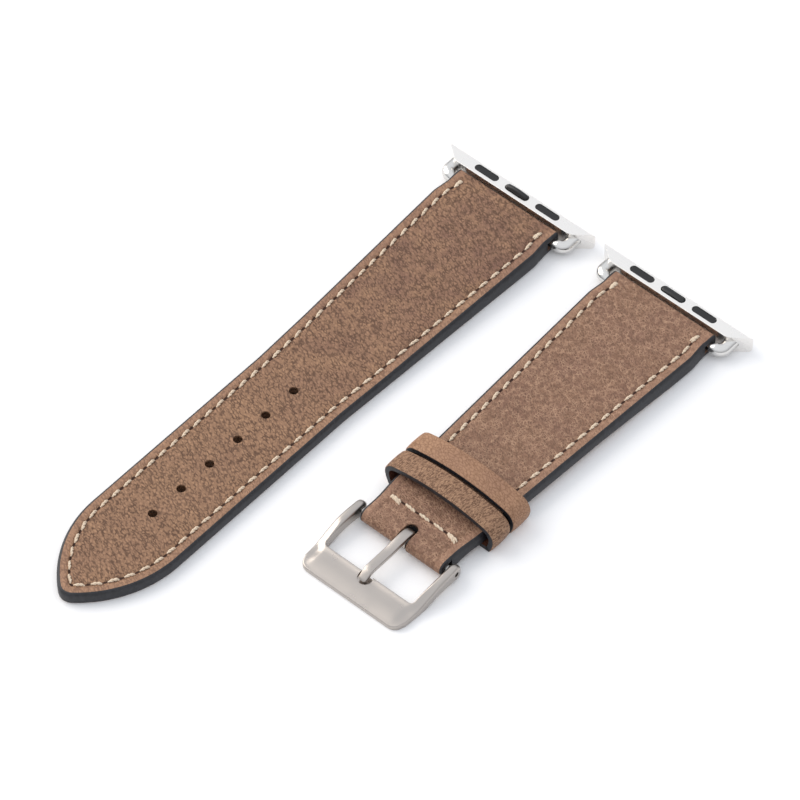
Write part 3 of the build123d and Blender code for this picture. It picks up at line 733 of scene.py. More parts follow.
    def skin_mesh(self) -> Object:
        """Builds the top leather as one closed skin with painted sides.

        Returns:
            The skin.
        """
        rings = []
        for place, height, out_along, out_up, share in self.skin_rows():
            drawn_in = share_between(self.inset_start, self.inset_start + self.relief_run, place)
            half = self.half_width(place) - self.skin_inset * drawn_in
            steps = self.across_steps(half)
            droop = self.fold_droop * (1 - share) * np.maximum(0, 1 - np.array(steps) / self.fold_droop) ** 2
            lift = self.relief(np.array(steps)) * share - droop
            offsets = [-(half - step) for step in steps] + [half - step for step in steps[-2::-1]]
            back = self.wall_at(place, height, out_along)
            outer = [
                (self.centre_x + x, self.y_at(place + out_along * h), height + out_up * h)
                for x, h in zip(offsets, [*lift, *lift[-2::-1]])]
            inner = [(self.centre_x + x, self.y_at(place - out_along * back), height - out_up * back) for x in offsets]
            rings.append(outer + inner[::-1])
        tip = self.tip_rings()
        points, faces = loft(rings + tip)
        if tip:
            faces.pop()  # the skin ends in a point, which needs no face
        inside = [0] * (len(rings[0]) // 2 - 1)
        rim = [1] * self.painted_columns
        column_slots = [*rim, *inside[2 * self.painted_columns:], *rim, 1, *inside, 1]
        slots = column_slots * (len(rings + tip) - 1)
        slots += [1] * (len(faces) - len(slots))
        materials = [self.finishes["top"], self.finishes["paint"]]
        return mesh_piece(f"{self.name}_top_leather_skin", points, faces, materials, slots, SHARP)

    def wall_at(self, place: float, height: float, out_along: float) -> float:
        """Thickness of the skin: more where it is packed out square round the bail.

        Args:
            place: place of the surface.
            height: its height.
            out_along: how much it faces down the strap.

        Returns:
            The thickness.
        """
        if out_along >= 0 or place > self.bar_at:
            return self.skin
        return hypot(place - self.bar_at, height - self.bar_height) - (self.loop_radius - self.skin)

    def tip_rings(self) -> list[list[Spot]]:
        """Rings of the skin past the straight part. A half with no pointed tip has none."""
        return []

    @abstractmethod
    def outline_rows(self, start: float) -> list[Row]:
        """Outline of a layer.

        Args:
            start: place where the layer begins.

        Returns:
            Half width, place, and outward direction across and along, as far as the layer's end.
        """

    def slab(self, name: str, start: float, low: Callable[[float], float], high: Callable[[float], float],
             profile: Sequence[Point], finish: str) -> Object:
        """Builds a layer of the strap with shaped sides.

        Args:
            name: the piece's name.
            start: place where it begins.
            low: height of its underside at a place.
            high: height of its top at a place.
            profile: its side, as outward offset and share of its height.
            finish: which of the finishes it has.

        Returns:
            The layer.
        """
        sections = []
        for half, place, across, along in self.outline_rows(start):
            bottom, top = low(place), high(place)
            section = []
            for side, steps in ((-1, profile), (1, profile[::-1])):
                for out, share in steps:
                    x = max(0.0, half + out * across)
                    reach = place + out * along
                    section.append((self.centre_x + side * x, self.y_at(reach), bottom + share * (top - bottom)))
            sections.append(section)
        points, faces = loft(sections)
        if sections[-1][0][0] == sections[-1][-1][0]:
            faces.pop()  # the layer ends in a point, which needs no face
        return mesh_piece(name, points, faces, [self.finishes[finish]], sharp=SHARP)

    def layers(self) -> list[Object]:
        """Builds the three layers of leather.

        Returns:
            The skin, the painted stiffening layer and the lining.
        """
        return [
            self.skin_mesh(),
            self.slab(
                f"{self.name}_edge_paint", self.slab_start, lambda p: self.under_at(p) + self.core_gap,
                lambda p: self.top_at(p) - self.core_drop, self.slab_profile, "paint"),
            self.slab(
                f"{self.name}_lining_skin", self.turn_in_end + self.core_gap, self.under_at,
                lambda p: self.under_at(p) + self.lining, self.lining_profile, "lining")]

    def dress_layers(self, layers: Sequence[Object]) -> None:
        """Marks the seams on the skin, and dresses the three layers.

        Args:
            layers: skin, stiffening layer and lining.
        """
        self.mark_seams(layers[0])
        for piece, slot, node in zip(
                layers, (Slot.TOP, Slot.FILLER, Slot.LINING), ("top_leather", "filler", "lining")):
            smooth(piece, SHARP)
            dress(piece, self.body, [f"{self.name}_{node}"])

    def mark_seams(self, piece: Object) -> None:
        """Writes where each point of the skin lies by the seams, for the leather's material.

        Args:
            piece: the skin.
        """
        count = len(piece.data.vertices)
        spots = np.zeros(count * 3)
        piece.data.vertices.foreach_get("co", spots)
        spots = spots.reshape(-1, 3) / MM
        across = spots[:, 0] - self.centre_x
        place = self.slots_y - spots[:, 1]
        inward = self.edge_distance(across, place) - self.seam_inset
        seam = np.stack([self.seam_place(across, place), inward, self.seam_allowed(place, spots[:, 2])], axis=1)
        cross = self.cross_place(across, place, spots[:, 2])
        write_vectors(piece.data, {"seam": seam, "cross": cross})

    def seam_allowed(self, place: np.ndarray, height: np.ndarray) -> np.ndarray:
        """One where the side seams run on the top surface, zero elsewhere, for points at a place and height."""
        return ((place > self.first_stitch - self.seam_lead) & (height > self.top_side)).astype(float)

    def cross_place(self, across: np.ndarray, place: np.ndarray, height: np.ndarray) -> np.ndarray:
        """Place by a row of stitches across the strap; a half without one lies far from it everywhere."""
        return np.stack([np.zeros_like(place), np.full_like(place, 9.0), np.zeros_like(place)], axis=1)

    @abstractmethod
    def seam_points(self) -> list[Stitch]:
        """Stitches of both side seams, as centre, run and upward direction."""

    def second_pass(self, side: int) -> Stitch:
        """The stitch that doubles the first one of a side at the lug end."""
        return self.side_stitch(side, self.first_stitch + 0.1, *self.second_shift)

    def side_stitch(self, side: int, place: float, shift: float = 0.0, turn: float = 0.0) -> Stitch:
        """One stitch of a straight side seam.

        Args:
            side: -1 on the left, 1 on the right.
            place: place of its centre.
            shift: how far it is moved inward.
            turn: extra slant in degrees.

        Returns:
            Its centre, run and upward direction.
        """
        behind, ahead = place - self.stitch_reach, place + self.stitch_reach
        run = Vector((
            side * (self.half_width(ahead) - self.half_width(behind)), behind - ahead,
            self.top_at(ahead) - self.top_at(behind)))
        across = side * (self.half_width(place) - self.seam_inset - shift)
        up = Vector((0.0, -run.z / run.y, 1.0)).normalized()
        centre = Vector((self.centre_x + across, self.y_at(place), self.top_at(place) - self.seam_depth))
        return centre, turned_by(run, self.slants[side] + turn), up

    def sew(self, name: str, nodes: Sequence[str], stitches: Sequence[Stitch], seed: int,
            length_mm: float = 1.85) -> None:
        """Lays a row of stitches and dresses it.

        Args:
            name: the piece's name.
            nodes: the CAD nodes that it replaces.
            stitches: the stitches.
            seed: seed of their small differences.
            length_mm: length of a stitch.
        """
        sewn = stitch_row(name, stitches, self.finishes["thread"], seed, length_mm)
        dress(sewn, self.body, nodes)


def write_vectors(data: Mesh, layers: dict[str, Sequence]) -> None:
    """Stores vectors on the points of a mesh.

    Args:
        data: the mesh.
        layers: name of each attribute, with one vector for each point.
    """
    for name, vectors in layers.items():
        layer = data.attributes.new(name, "FLOAT_VECTOR", "POINT")
        layer.data.foreach_set("vector", np.asarray(vectors, np.float32).ravel())


def turned_by(run: Vector, degrees: float) -> Vector:
    """Turns a direction about the vertical.

    Args:
        run: the direction.
        degrees: how far it is turned.

    Returns:
        The new direction, of length one.
    """
    cosine, sine = cos(radians(degrees)), sin(radians(degrees))
    return Vector((run.x * cosine - run.y * sine, run.x * sine + run.y * cosine, run.z)).normalized()


def start_tree(name: str, points: str, sizes: dict[str, float]) -> tuple[
        NodeTree, Add, bpy.types.bpy_prop_collection]:
    """Makes a Geometry Nodes tree with named inputs.

    Args:
        name: the tree's name.
        points: name of its geometry input.
        sizes: names and values of its number inputs.

    Returns:
        The tree, add_node for it, and the sockets that give its inputs.
    """
    tree = bpy.data.node_groups.new(name, "GeometryNodeTree")
    tree.interface.new_socket(points, in_out="INPUT", socket_type="NodeSocketGeometry")
    for title, value in sizes.items():
        kind = "NodeSocketInt" if isinstance(value, int) else "NodeSocketFloat"
        tree.interface.new_socket(title, in_out="INPUT", socket_type=kind).default_value = value
    tree.interface.new_socket("Geometry", in_out="OUTPUT", socket_type="NodeSocketGeometry")
    add = partial(add_node, tree)
    return tree, add, add("NodeGroupInput").outputs


def end_tree(add: Add, instances: Node, material: Material) -> None:
    """Makes a tree's instances real and smooth, and gives them their material.

    Args:
        add: add_node for the tree.
        instances: the node that gives the instances.
        material: what they are made of.
    """
    real = add("GeometryNodeRealizeInstances", {0: instances})
    soft = add("GeometryNodeSetShadeSmooth", {0: real})
    dyed = add("GeometryNodeSetMaterial", {"Geometry": soft, "Material": material})
    add("NodeGroupOutput", {0: dyed})


def grow(piece: Object, tree: NodeTree, sizes: dict[str, float]) -> None:
    """Runs a tree on a piece and keeps the result as its plain mesh.

    Args:
        piece: the piece, which holds the points.
        tree: the tree.
        sizes: values for its named inputs.
    """
    tool = piece.modifiers.new(tree.name, "NODES")
    tool.node_group = tree
    for entry in tree.interface.items_tree:
        if entry.item_type == "SOCKET" and entry.in_out == "INPUT" and entry.name in sizes:
            tool[entry.identifier] = sizes[entry.name]
    settle(piece)


def stitch_tree(material: Material) -> NodeTree:
    """Builds the tree that lays one arched two-ply stitch on each point.

    Args:
        material: the thread.

    Returns:
        The tree, with named inputs for the stitch's sizes and its seed.
    """
    tree, add, given = start_tree("two_ply_stitches", "Seam points", {
        "Stitch length": 1.85 * MM, "Ply offset": 0.135 * MM, "Ply radius": 0.18 * MM, "Arch": 0.4 * MM,
        "Sunk ends": 0.18 * MM, "Twists": 1.4, "Seed": 3})
    plies = []
    for phase in (0.0, pi):
        line = add("GeometryNodeCurvePrimitiveLine", {"Start": (-0.5, 0.0, 0.0), "End": (0.5, 0.0, 0.0)})
        points = add("GeometryNodeResampleCurve", {"Curve": line, "Count": 9})
        share = add("GeometryNodeSplineParameter").outputs["Factor"]
        along = add("ShaderNodeMath", {0: share, 1: 0.5}, operation="SUBTRACT")
        reach = add("ShaderNodeMath", {0: along, 1: given["Stitch length"]}, operation="MULTIPLY")
        turns = add("ShaderNodeMath", {0: share, 1: given["Twists"]}, operation="MULTIPLY")
        angle = add("ShaderNodeMath", {0: turns, 1: 2 * pi, 2: phase}, operation="MULTIPLY_ADD")
        sideways = add("ShaderNodeMath", {0: angle}, operation="COSINE")
        upward = add("ShaderNodeMath", {0: angle}, operation="SINE")
        aside = add("ShaderNodeMath", {0: sideways, 1: given["Ply offset"]}, operation="MULTIPLY")
        double = add("ShaderNodeMath", {0: along, 1: 2.0}, operation="MULTIPLY")
        square = add("ShaderNodeMath", {0: double, 1: double}, operation="MULTIPLY")
        quartic = add("ShaderNodeMath", {0: square, 1: square}, operation="MULTIPLY")
        hump = add("ShaderNodeMath", {0: 1.0, 1: quartic}, operation="SUBTRACT")
        raised = add("ShaderNodeMath", {0: hump, 1: given["Arch"]}, operation="MULTIPLY")
        lowered = add("ShaderNodeMath", {0: raised, 1: given["Sunk ends"]}, operation="SUBTRACT")
        height = add("ShaderNodeMath", {0: upward, 1: given["Ply offset"], 2: lowered}, operation="MULTIPLY_ADD")
        spot = add("ShaderNodeCombineXYZ", {0: reach, 1: aside, 2: height})
        bent = add("GeometryNodeSetPosition", {"Geometry": points, "Position": spot})
        ring = add("GeometryNodeCurvePrimitiveCircle", {"Resolution": 6, "Radius": given["Ply radius"]})
        slim = add("ShaderNodeMath", {0: quartic, 1: -0.5, 2: 1.0}, operation="MULTIPLY_ADD")
        tapered = add("GeometryNodeSetCurveRadius", {"Curve": bent, "Radius": slim})
        tube = add("GeometryNodeCurveToMesh", {"Curve": tapered, "Profile Curve": ring, "Fill Caps": True})
        plies.append(tube)
    stitch = add("GeometryNodeJoinGeometry")
    for ply in plies:
        feed(stitch, {0: ply})
    run = add("GeometryNodeInputNamedAttribute", {"Name": "run"}, data_type="FLOAT_VECTOR")
    up = add("GeometryNodeInputNamedAttribute", {"Name": "up"}, data_type="FLOAT_VECTOR")
    turn = add("FunctionNodeAxesToRotation", {0: up, 1: run}, primary_axis="Z", secondary_axis="X")
    size = add(
        "FunctionNodeRandomValue", {0: (0.94, 0.9, 0.92), 1: (1.05, 1.08, 1.06), "Seed": given["Seed"]},
        data_type="FLOAT_VECTOR")
    laid = add("GeometryNodeInstanceOnPoints", {
        "Points": given["Seam points"], "Instance": stitch, "Rotation": turn, "Scale": size})
    tilt = add(
        "FunctionNodeRandomValue", {0: (-0.03, -0.03, -0.07), 1: (0.03, 0.03, 0.07), "Seed": given["Seed"]},
        data_type="FLOAT_VECTOR")
    loose = add("GeometryNodeRotateInstances", {"Instances": laid, "Rotation": tilt})
    end_tree(add, loose, material)
    return tree


def stitch_row(name: str, stitches: Sequence[Stitch], thread: Material, seed: int, length_mm: float) -> Object:
    """Lays stitches and returns them as one plain mesh.

    Args:
        name: the piece's name.
        stitches: centre in millimetres, run and upward direction of each.
        thread: their material.
        seed: seed of their small differences.
        length_mm: length of a stitch.

    Returns:
        The stitches.
    """
    data = bpy.data.meshes.new(name)
    data.from_pydata([tuple(centre * MM) for centre, _, _ in stitches], [], [])
    write_vectors(data, {"run": [tuple(run) for _, run, _ in stitches], "up": [tuple(up) for _, _, up in stitches]})
    piece = put_in(name, data)
    grow(piece, stitch_tree(thread), {"Seed": seed, "Stitch length": length_mm * MM})
    return piece


@dataclass
class TailHalf(StrapHalf):
    """The long half: pointed tip, six punched holes and a seam all the way round."""

    tip_rise: float = 19.0
    nose_radius: float = 2.5
    hole_first: float = 60.1
    hole_pitch: float = 7.3
    hole_count: int = 6
    hole_radius: float = 0.87
    tip_steps: int = 60

    def __post_init__(self) -> None:
        """Works out the tip's circles and the stitch pitch that ends at the point."""
        half = self.half_width(self.parallel_end)
        self.tip_radius = (half ** 2 + self.tip_rise ** 2) / (2 * half)
        self.tip_offset = self.tip_radius - half
        self.nose_at = self.parallel_end + sqrt((self.tip_radius - self.nose_radius) ** 2 - self.tip_offset ** 2)
        self.nose_turn = atan2(self.nose_at - self.parallel_end, self.tip_offset)
        seam_radius = self.tip_radius - self.seam_inset
        self.seam_arc = seam_radius * acos(self.tip_offset / seam_radius)
        length = self.parallel_end - self.first_stitch + self.seam_arc
        self.pitch = length / (round(length / self.pitch - 0.5) + 0.5)

    def tip_curve(self, inward: float) -> tuple[np.ndarray, np.ndarray]:
        """One side of the outline moved inward, from the straight part to the centre line.

        Args:
            inward: how far it is moved in.

        Returns:
            Its half widths and places, evenly spaced.
        """
        radius = max(self.tip_radius - inward, self.tip_offset)
        if inward < self.nose_radius:
            turns = np.linspace(0, self.nose_turn, 200)
            x = radius * np.cos(turns) - self.tip_offset
            place = self.parallel_end + radius * np.sin(turns)
            nose = np.linspace(self.nose_turn, pi / 2, 60)[1:]
            x = np.append(x, (self.nose_radius - inward) * np.cos(nose))
            place = np.append(place, self.nose_at + (self.nose_radius - inward) * np.sin(nose))
        else:
            turns = np.linspace(0, acos(min(1.0, self.tip_offset / radius)), 260)
            x = radius * np.cos(turns) - self.tip_offset
            place = self.parallel_end + radius * np.sin(turns)
        run = np.append(0, np.cumsum(np.hypot(np.diff(x), np.diff(place))))
        if run[-1] < 1e-6:
            return np.full(self.tip_steps + 1, x[0]), np.full(self.tip_steps + 1, place[0])
        even = np.linspace(0, run[-1], self.tip_steps + 1)
        x, place = np.interp(even, run, x), np.interp(even, run, place)
        x[-1] = 0.0
        return x, place

    def tip_rings(self) -> list[list[Spot]]:
        """Rings of the skin round the pointed tip, nested inside one another.

        Returns:
            The rings.
        """
        steps = self.across_steps(self.half_width(self.parallel_end) - self.skin_inset)
        curves = [self.tip_curve(step + self.skin_inset) for step in steps]
        lift = self.relief(np.array(steps))
        left = [(-1, j) for j in range(len(steps))]
        rings = []
        for k in range(1, self.tip_steps + 1):
            upper, lower = [], []
            for side, j in left + [(1, j) for _, j in left[-2::-1]]:
                across, place = curves[j][0][k], curves[j][1][k]
                spot, height = (self.centre_x + side * across, self.y_at(place)), self.top_at(place)
                upper.append((*spot, height + lift[j]))
                lower.append((*spot, height - self.skin))
            rings.append(upper + lower[::-1])
        return rings

    def outline_rows(self, start: float) -> list[Row]:
        """Outline of a layer, as far as the point.

        Args:
            start: place where the layer begins.

        Returns:
            Half width, place, and outward direction across and along.
        """
        rows = [(self.half_width(p), p, 1.0, 0.0) for p in np.arange(start, self.parallel_end, 1.0)]
        for turn in np.linspace(0, self.nose_turn, 26):
            rows.append((
                self.tip_radius * cos(turn) - self.tip_offset,
                self.parallel_end + self.tip_radius * sin(turn), cos(turn), sin(turn)))
        for turn in np.linspace(self.nose_turn, pi / 2, 9)[1:]:
            across, along = cos(turn), sin(turn)
            across = 0.0 if turn > pi / 2 - 1e-6 else across
            rows.append((self.nose_radius * across, self.nose_at + self.nose_radius * along, across, along))
        return rows

    def edge_distance(self, across: np.ndarray, place: np.ndarray) -> np.ndarray:
        """Distance in from the outline, round the tip too.

        Args:
            across: how far the points lie from the centre line.
            place: their places.

        Returns:
            The distances.
        """
        straight = super().edge_distance(across, place)
        past = place - self.parallel_end
        arc = self.tip_radius - np.hypot(np.abs(across) + self.tip_offset, past)
        nose = self.nose_radius - np.hypot(across, place - self.nose_at)
        by_nose = (place > self.nose_at) & (
            np.arctan2(np.abs(across), place - self.nose_at) < pi / 2 - self.nose_turn)
        return np.where(past <= 0, straight, np.where(by_nose, nose, arc))

    def seam_place(self, across: np.ndarray, place: np.ndarray) -> np.ndarray:
        """Place along the seam, round the tip too.

        Args:
            across: how far the points lie from the centre line.
            place: their places.

        Returns:
            The places, counted in stitches.
        """
        past = place - self.parallel_end
        angle = np.arctan2(past, np.abs(across) + self.tip_offset)
        run = np.where(past <= 0, place, self.parallel_end + (self.tip_radius - self.seam_inset) * angle)
        return (run - self.first_stitch) / self.pitch

    def seam_points(self) -> list[Stitch]:
        """Stitches of both sides up to the point, with a second pass at the lug end.

        Returns:
            The stitches.
        """
        stitches = []
        count = round((self.parallel_end - self.first_stitch + self.seam_arc) / self.pitch - 0.5)
        radius = self.tip_radius - self.seam_inset
        for side in (-1, 1):
            for index in range(count + 1):
                place = self.first_stitch + index * self.pitch
                if place <= self.parallel_end:
                    stitches.append(self.side_stitch(side, place))
                    continue
                angle = (place - self.parallel_end) / radius
                across = radius * cos(angle) - self.tip_offset
                along = self.parallel_end + radius * sin(angle)
                centre = Vector((
                    self.centre_x + side * across, self.y_at(along), self.top_at(along) - self.seam_depth))
                run = Vector((-side * sin(angle), -cos(angle), 0.0))
                stitches.append((centre, turned_by(run, self.slants[side]), Vector((0.0, 0.0, 1.0))))
            stitches.append(self.second_pass(side))
        return stitches

    def build(self) -> None:
        """Builds the tail half's pieces, punches the holes and dresses them."""
        layers = self.layers()
        for index in range(self.hole_count):
            y = self.y_at(self.hole_first + self.hole_pitch * index)
            ring = [
                (self.centre_x + self.hole_radius * cos(a), y + self.hole_radius * sin(a))
                for a in np.linspace(0, 2 * pi, 25)[:-1]]
            punch = prism("punch", ring, CUT_LOW, CUT_HIGH)
            for piece in layers:
                cut(piece, punch)
            put_away(punch)
            self.bare_wall(layers[1], Vector((self.centre_x, y)))
        self.dress_layers(layers)
        self.sew("tail_thread", ["tail_stitching"], self.seam_points(), 3)

    def bare_wall(self, core: Object, centre: Vector) -> None:
        """Shows bare brown leather on the wall of a punched hole, which no paint reaches.

        Args:
            core: the painted stiffening layer.
            centre: the hole's centre, in millimetres.
        """
        bare = self.finishes["punched"]
        if bare.name not in core.data.materials:
            core.data.materials.append(bare)
        index = core.data.materials.find(bare.name)
        for face in core.data.polygons:
            if (face.center.xy / MM - centre).length < self.hole_radius + 0.05:
                face.material_index = index


@dataclass
class BuckleHalf(StrapHalf):
    """The short half: folded round the spring bar, slotted for the tongue, with a waisted neck."""

    spring_bar_at: float = 71.8
    spring_bar_height: float = 1.95
    fold_radius: float = 1.6
    flap_start: float = 64.3
    flap_rows: int = 15
    seam_end: float = 52.5
    relief_shares: tuple[Point, ...] = ((0.0, 1.0), (62.0, 1.0), (66.0, 0.8), (71.0, 0.7), (71.8, 0.5))
    slot_back: float = 69.2
    slot_width: float = 2.5
    cross_at: float = 67.05
    cross_pitch: float = 3.2
    cross_count: int = 5
    cross_slant: float = -5.0
    cross_second: Point = (0.34, -7.0)
    cross_length: float = 2.5
    slab_end: float = 70.6

    def top_end(self) -> float:
        """The straight rows end over the spring bar."""
        return self.spring_bar_at

    def skin_rows(self) -> list[Row]:
        """Rows as on the tail, and on round the spring bar to the turned-in flap below.

        Returns:
            Rows as arc gives them.
        """
        rows = [
            (*row[:4], row[4] * self.seam_share(row[0])) if row[3] == 1.0 else row for row in super().skin_rows()]
        rows += self.arc((self.spring_bar_at, self.spring_bar_height), self.fold_radius, 90, -90, self.arc_rows)[1:]
        for place in np.linspace(self.spring_bar_at, self.flap_start, self.flap_rows)[1:]:
            rows.append((place, self.under_at(place), 0.0, -1.0, 0.0))
        return rows

    def seam_share(self, place: float) -> float:
        """Share of the relief at a place: the skin lies plain on the neck and over the fold."""
        return float(np.interp(place, *zip(*self.relief_shares)))

    def seam_allowed(self, place: np.ndarray, height: np.ndarray) -> np.ndarray:
        """One where the side seams run, which is as far as the keepers."""
        return super().seam_allowed(place, height) * (place < self.seam_end)

    def cross_place(self, across: np.ndarray, place: np.ndarray, height: np.ndarray) -> np.ndarray:
        """Place by the row of stitches across the neck.

        Args:
            across: how far the points lie from the centre line.
            place: their places.
            height: their heights.

        Returns:
            Place along the row in stitches, distance from it, and one where it shows.
        """
        middle = (self.cross_count - 1) / 2
        reach = (middle + 0.4) * self.cross_pitch
        shown = (np.abs(across) < reach) & (height > self.top_side)
        return np.stack([across / self.cross_pitch + middle, self.cross_at - place, shown.astype(float)], axis=1)

    def seam_points(self) -> list[Stitch]:
        """Stitches of both sides up to the keepers, with a second pass at the lug end.

        Returns:
            The stitches.
        """
        stitches = []
        for side in (-1, 1):
            for index in range(int((self.seam_end - self.first_stitch) / self.pitch) + 1):
                stitches.append(self.side_stitch(side, self.first_stitch + index * self.pitch))
            stitches.append(self.second_pass(side))
        return stitches

    def cross_points(self) -> list[Stitch]:
        """Stitches of the row across the neck, doubled at both ends.

        Returns:
            The stitches.
        """
        stitches = []
        up = Vector((0.0, 0.0, 1.0))
        middle = (self.cross_count - 1) / 2
        for index in range(self.cross_count):
            x = self.centre_x + self.cross_pitch * (index - middle)
            centre = Vector((x, self.y_at(self.cross_at), self.top_at(self.cross_at) - 0.05))
            run = Vector((1.0, 0.0, 0.0))
            stitches.append((centre, turned_by(run, self.cross_slant), up))
            if index in (0, self.cross_count - 1):
                second = centre + Vector((0.0, -self.cross_second[0], 0.0))
                stitches.append((second, turned_by(run, self.cross_slant + self.cross_second[1]), up))
        return stitches

    def build(self) -> None:
        """Builds the buckle half's pieces, slots them for the tongue and dresses them."""
        layers = self.layers()
        half = self.slot_width / 2
        back = self.y_at(self.slot_back + half)
        front = self.y_at(self.spring_bar_at + CUT_HIGH)
        capsule = [(self.centre_x + half * cos(a), back + half * sin(a)) for a in np.linspace(0, pi, 17)]
        mouth = [(self.centre_x - half, front), (self.centre_x + half, front)]
        slot = prism("slot", [*capsule, *mouth], CUT_LOW, CUT_HIGH)
        for piece in layers[:2]:
            cut(piece, slot)
        put_away(slot)
        self.dress_layers(layers)
        self.sew("buckle_side_thread", ["buckle_side_stitching"], self.seam_points(), 5)
        self.sew("cross_thread", ["cross_stitching"], self.cross_points(), 8, self.cross_length)

    def outline_rows(self, start: float) -> list[Row]:
        """Outline of a layer, which ends short of the spring bar or of the flap.

        Args:
            start: place where the layer begins.

        Returns:
            Half width, place, and outward direction across and along.
        """
        end = self.slab_end if start < self.turn_in_end else self.flap_start - 0.1
        bends = (place for place, _ in self.under)
        places = [p for p in (*np.arange(start, end, 1.0), *bends) if start <= p < end]
        return [(self.half_width(p), p, 1.0, 0.0) for p in (*sorted(set(places)), end)]


@dataclass
class Keeper:
    """A keeper: a folded leather band round the strap, domed, with painted edges."""

    node: str
    body: str
    centre_x: float
    centre_y: float
    wall: float
    finish: str
    length: float = 4.6
    half: float = 12.4
    height: float = 6.9
    widest: float = 2.4
    shoulder: Point = (10.4, 5.6)
    foot: float = 11.5
    dome: float = 0.14
    edge_round: float = 0.28
    floor_side: float = 0.3
    edges: Row = (0.0, 0.04, 0.1, 0.18, 0.28, 0.45, 0.8, 1.3, 1.8)

    def section(self) -> np.ndarray:
        """Outer line of the section.

        Returns:
            Its points, clockwise from the middle of the dome.
        """
        crown = (self.shoulder[0] ** 2 + (self.height - self.shoulder[1]) ** 2) / (2 * (self.height - self.shoulder[1]))
        start = asin(self.shoulder[0] / crown)
        over = [(crown * sin(a), self.height - crown + crown * cos(a)) for a in np.linspace(0, start, 24)]
        down = tangent_arc(self.shoulder, (cos(start), -sin(start)), (self.half, self.widest), 14)
        end_run = (down[-1][0] - down[-2][0], down[-1][1] - down[-2][1])
        foot = tangent_arc((self.half, self.widest), end_run, (self.foot, 0.0), 8)
        right = over + down[1:] + foot[1:]
        floor = [(x, 0.0) for x in np.linspace(self.foot, 0, 10)[1:]]
        clockwise = right + floor
        left = [(-x, z) for x, z in clockwise[-2:0:-1]]
        return np.array(clockwise + left)

    def build(self, finishes: dict[str, Material]) -> None:
        """Builds the band from its section and dresses it.

        Args:
            finishes: the materials by name.
        """
        line = self.section()
        ahead, behind = np.roll(line, -1, axis=0) - line, line - np.roll(line, 1, axis=0)
        ahead /= np.linalg.norm(ahead, axis=1)[:, None]
        behind /= np.linalg.norm(behind, axis=1)[:, None]
        mean = ahead + behind
        mean /= np.linalg.norm(mean, axis=1)[:, None]
        out = np.stack([-mean[:, 1], mean[:, 0]], axis=1)
        miter = 1 / np.maximum(0.5, np.abs((ahead * mean).sum(axis=1)))
        inside = line - out * (self.wall * miter)[:, None]
        steps = [*self.edges, *(self.length - e for e in self.edges[::-1])]
        loops = []
        for step in steps:
            near = max(0.0, self.edge_round - min(step, self.length - step))
            drop = self.edge_round - sqrt(self.edge_round ** 2 - near ** 2)
            rise = self.dome * (1 - ((step - self.length / 2) / (self.length / 2)) ** 2)
            lift = np.where(line[:, 1] > self.floor_side, rise - drop, np.minimum(0.0, -drop * 0.5))
            shell = line + out * lift[:, None]
            loops.append([(self.centre_x + x, self.centre_y + self.length / 2 - step, z) for x, z in shell])
        for step in steps[::-1]:
            loops.append([(self.centre_x + x, self.centre_y + self.length / 2 - step, z) for x, z in inside])
        points, faces = loft(loops, around=True)
        outer, total = len(steps), len(loops)
        slots = []
        for row in range(total):
            painted = row in (0, outer - 2, outer - 1, total - 1)
            slots += [1 if painted else (0 if row < outer else 2)] * len(line)
        piece = mesh_piece(
            f"{self.node}_band", points, faces,
            [finishes[self.finish], finishes["paint"], finishes["keeper_inside"]], slots, 55)
        dress(piece, self.body, [self.node])


def tangent_arc(start: Point, run: Point, end: Point, count: int) -> list[Point]:
    """Points on the arc that leaves one point in a direction and ends at another.

    Args:
        start: its first point.
        run: its direction there.
        end: its last point.
        count: number of steps.

    Returns:
        The points, both ends with them.
    """
    sx, sz = start
    size = hypot(*run)
    nx, nz = run[1] / size, -run[0] / size
    dx, dz = end[0] - sx, end[1] - sz
    radius = (dx * dx + dz * dz) / (2 * (dx * nx + dz * nz))
    cx, cz = sx + nx * radius, sz + nz * radius
    first = atan2(sz - cz, sx - cx)
    last = atan2(end[1] - cz, end[0] - cx)
    while last - first > pi:
        last -= 2 * pi
    while last - first < -pi:
        last += 2 * pi
    return [(cx + abs(radius) * cos(a), cz + abs(radius) * sin(a)) for a in np.linspace(first, last, count + 1)]


@dataclass
class AdapterShell:
    """A milled steel adapter: its CAD shape is right, and gets the rounded edges of the real one."""

    half: str
    radius: float = 0.1
    segments: int = 3
    angle: float = 30.0

    def build(self, finish: Material) -> None:
        """Copies the node's mesh, cleans it, bevels its edges and dresses it.

        Args:
            finish: the satin steel.
        """
        node, name = f"{self.half}_adapter_body", f"{self.half}_adapter_shell"
        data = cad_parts[node].data.copy()
        data.name = name
        data.materials.clear()
        data.materials.append(finish)
        work = bmesh.new()
        work.from_mesh(data)
        bmesh.ops.remove_doubles(work, verts=work.verts, dist=0.0005 * MM)
        bmesh.ops.dissolve_limit(
            work, angle_limit=radians(0.5), verts=work.verts, edges=work.edges, delimit={"NORMAL"})
        work.to_mesh(data)
        work.free()
        if data.has_custom_normals:
            data.attributes.remove(data.attributes["custom_normal"])
        piece = put_in(name, data)
        smooth(piece, self.angle)
        rounding = piece.modifiers.new("rounding", "BEVEL")
        rounding.width = self.radius * MM
        rounding.segments = self.segments
        rounding.limit_method = "ANGLE"
        rounding.angle_limit = radians(self.angle)
        rounding.miter_outer = "MITER_ARC"
        rounding.harden_normals = True
        settle(piece)
        dress(piece, f"{self.half}_adapter", [node])


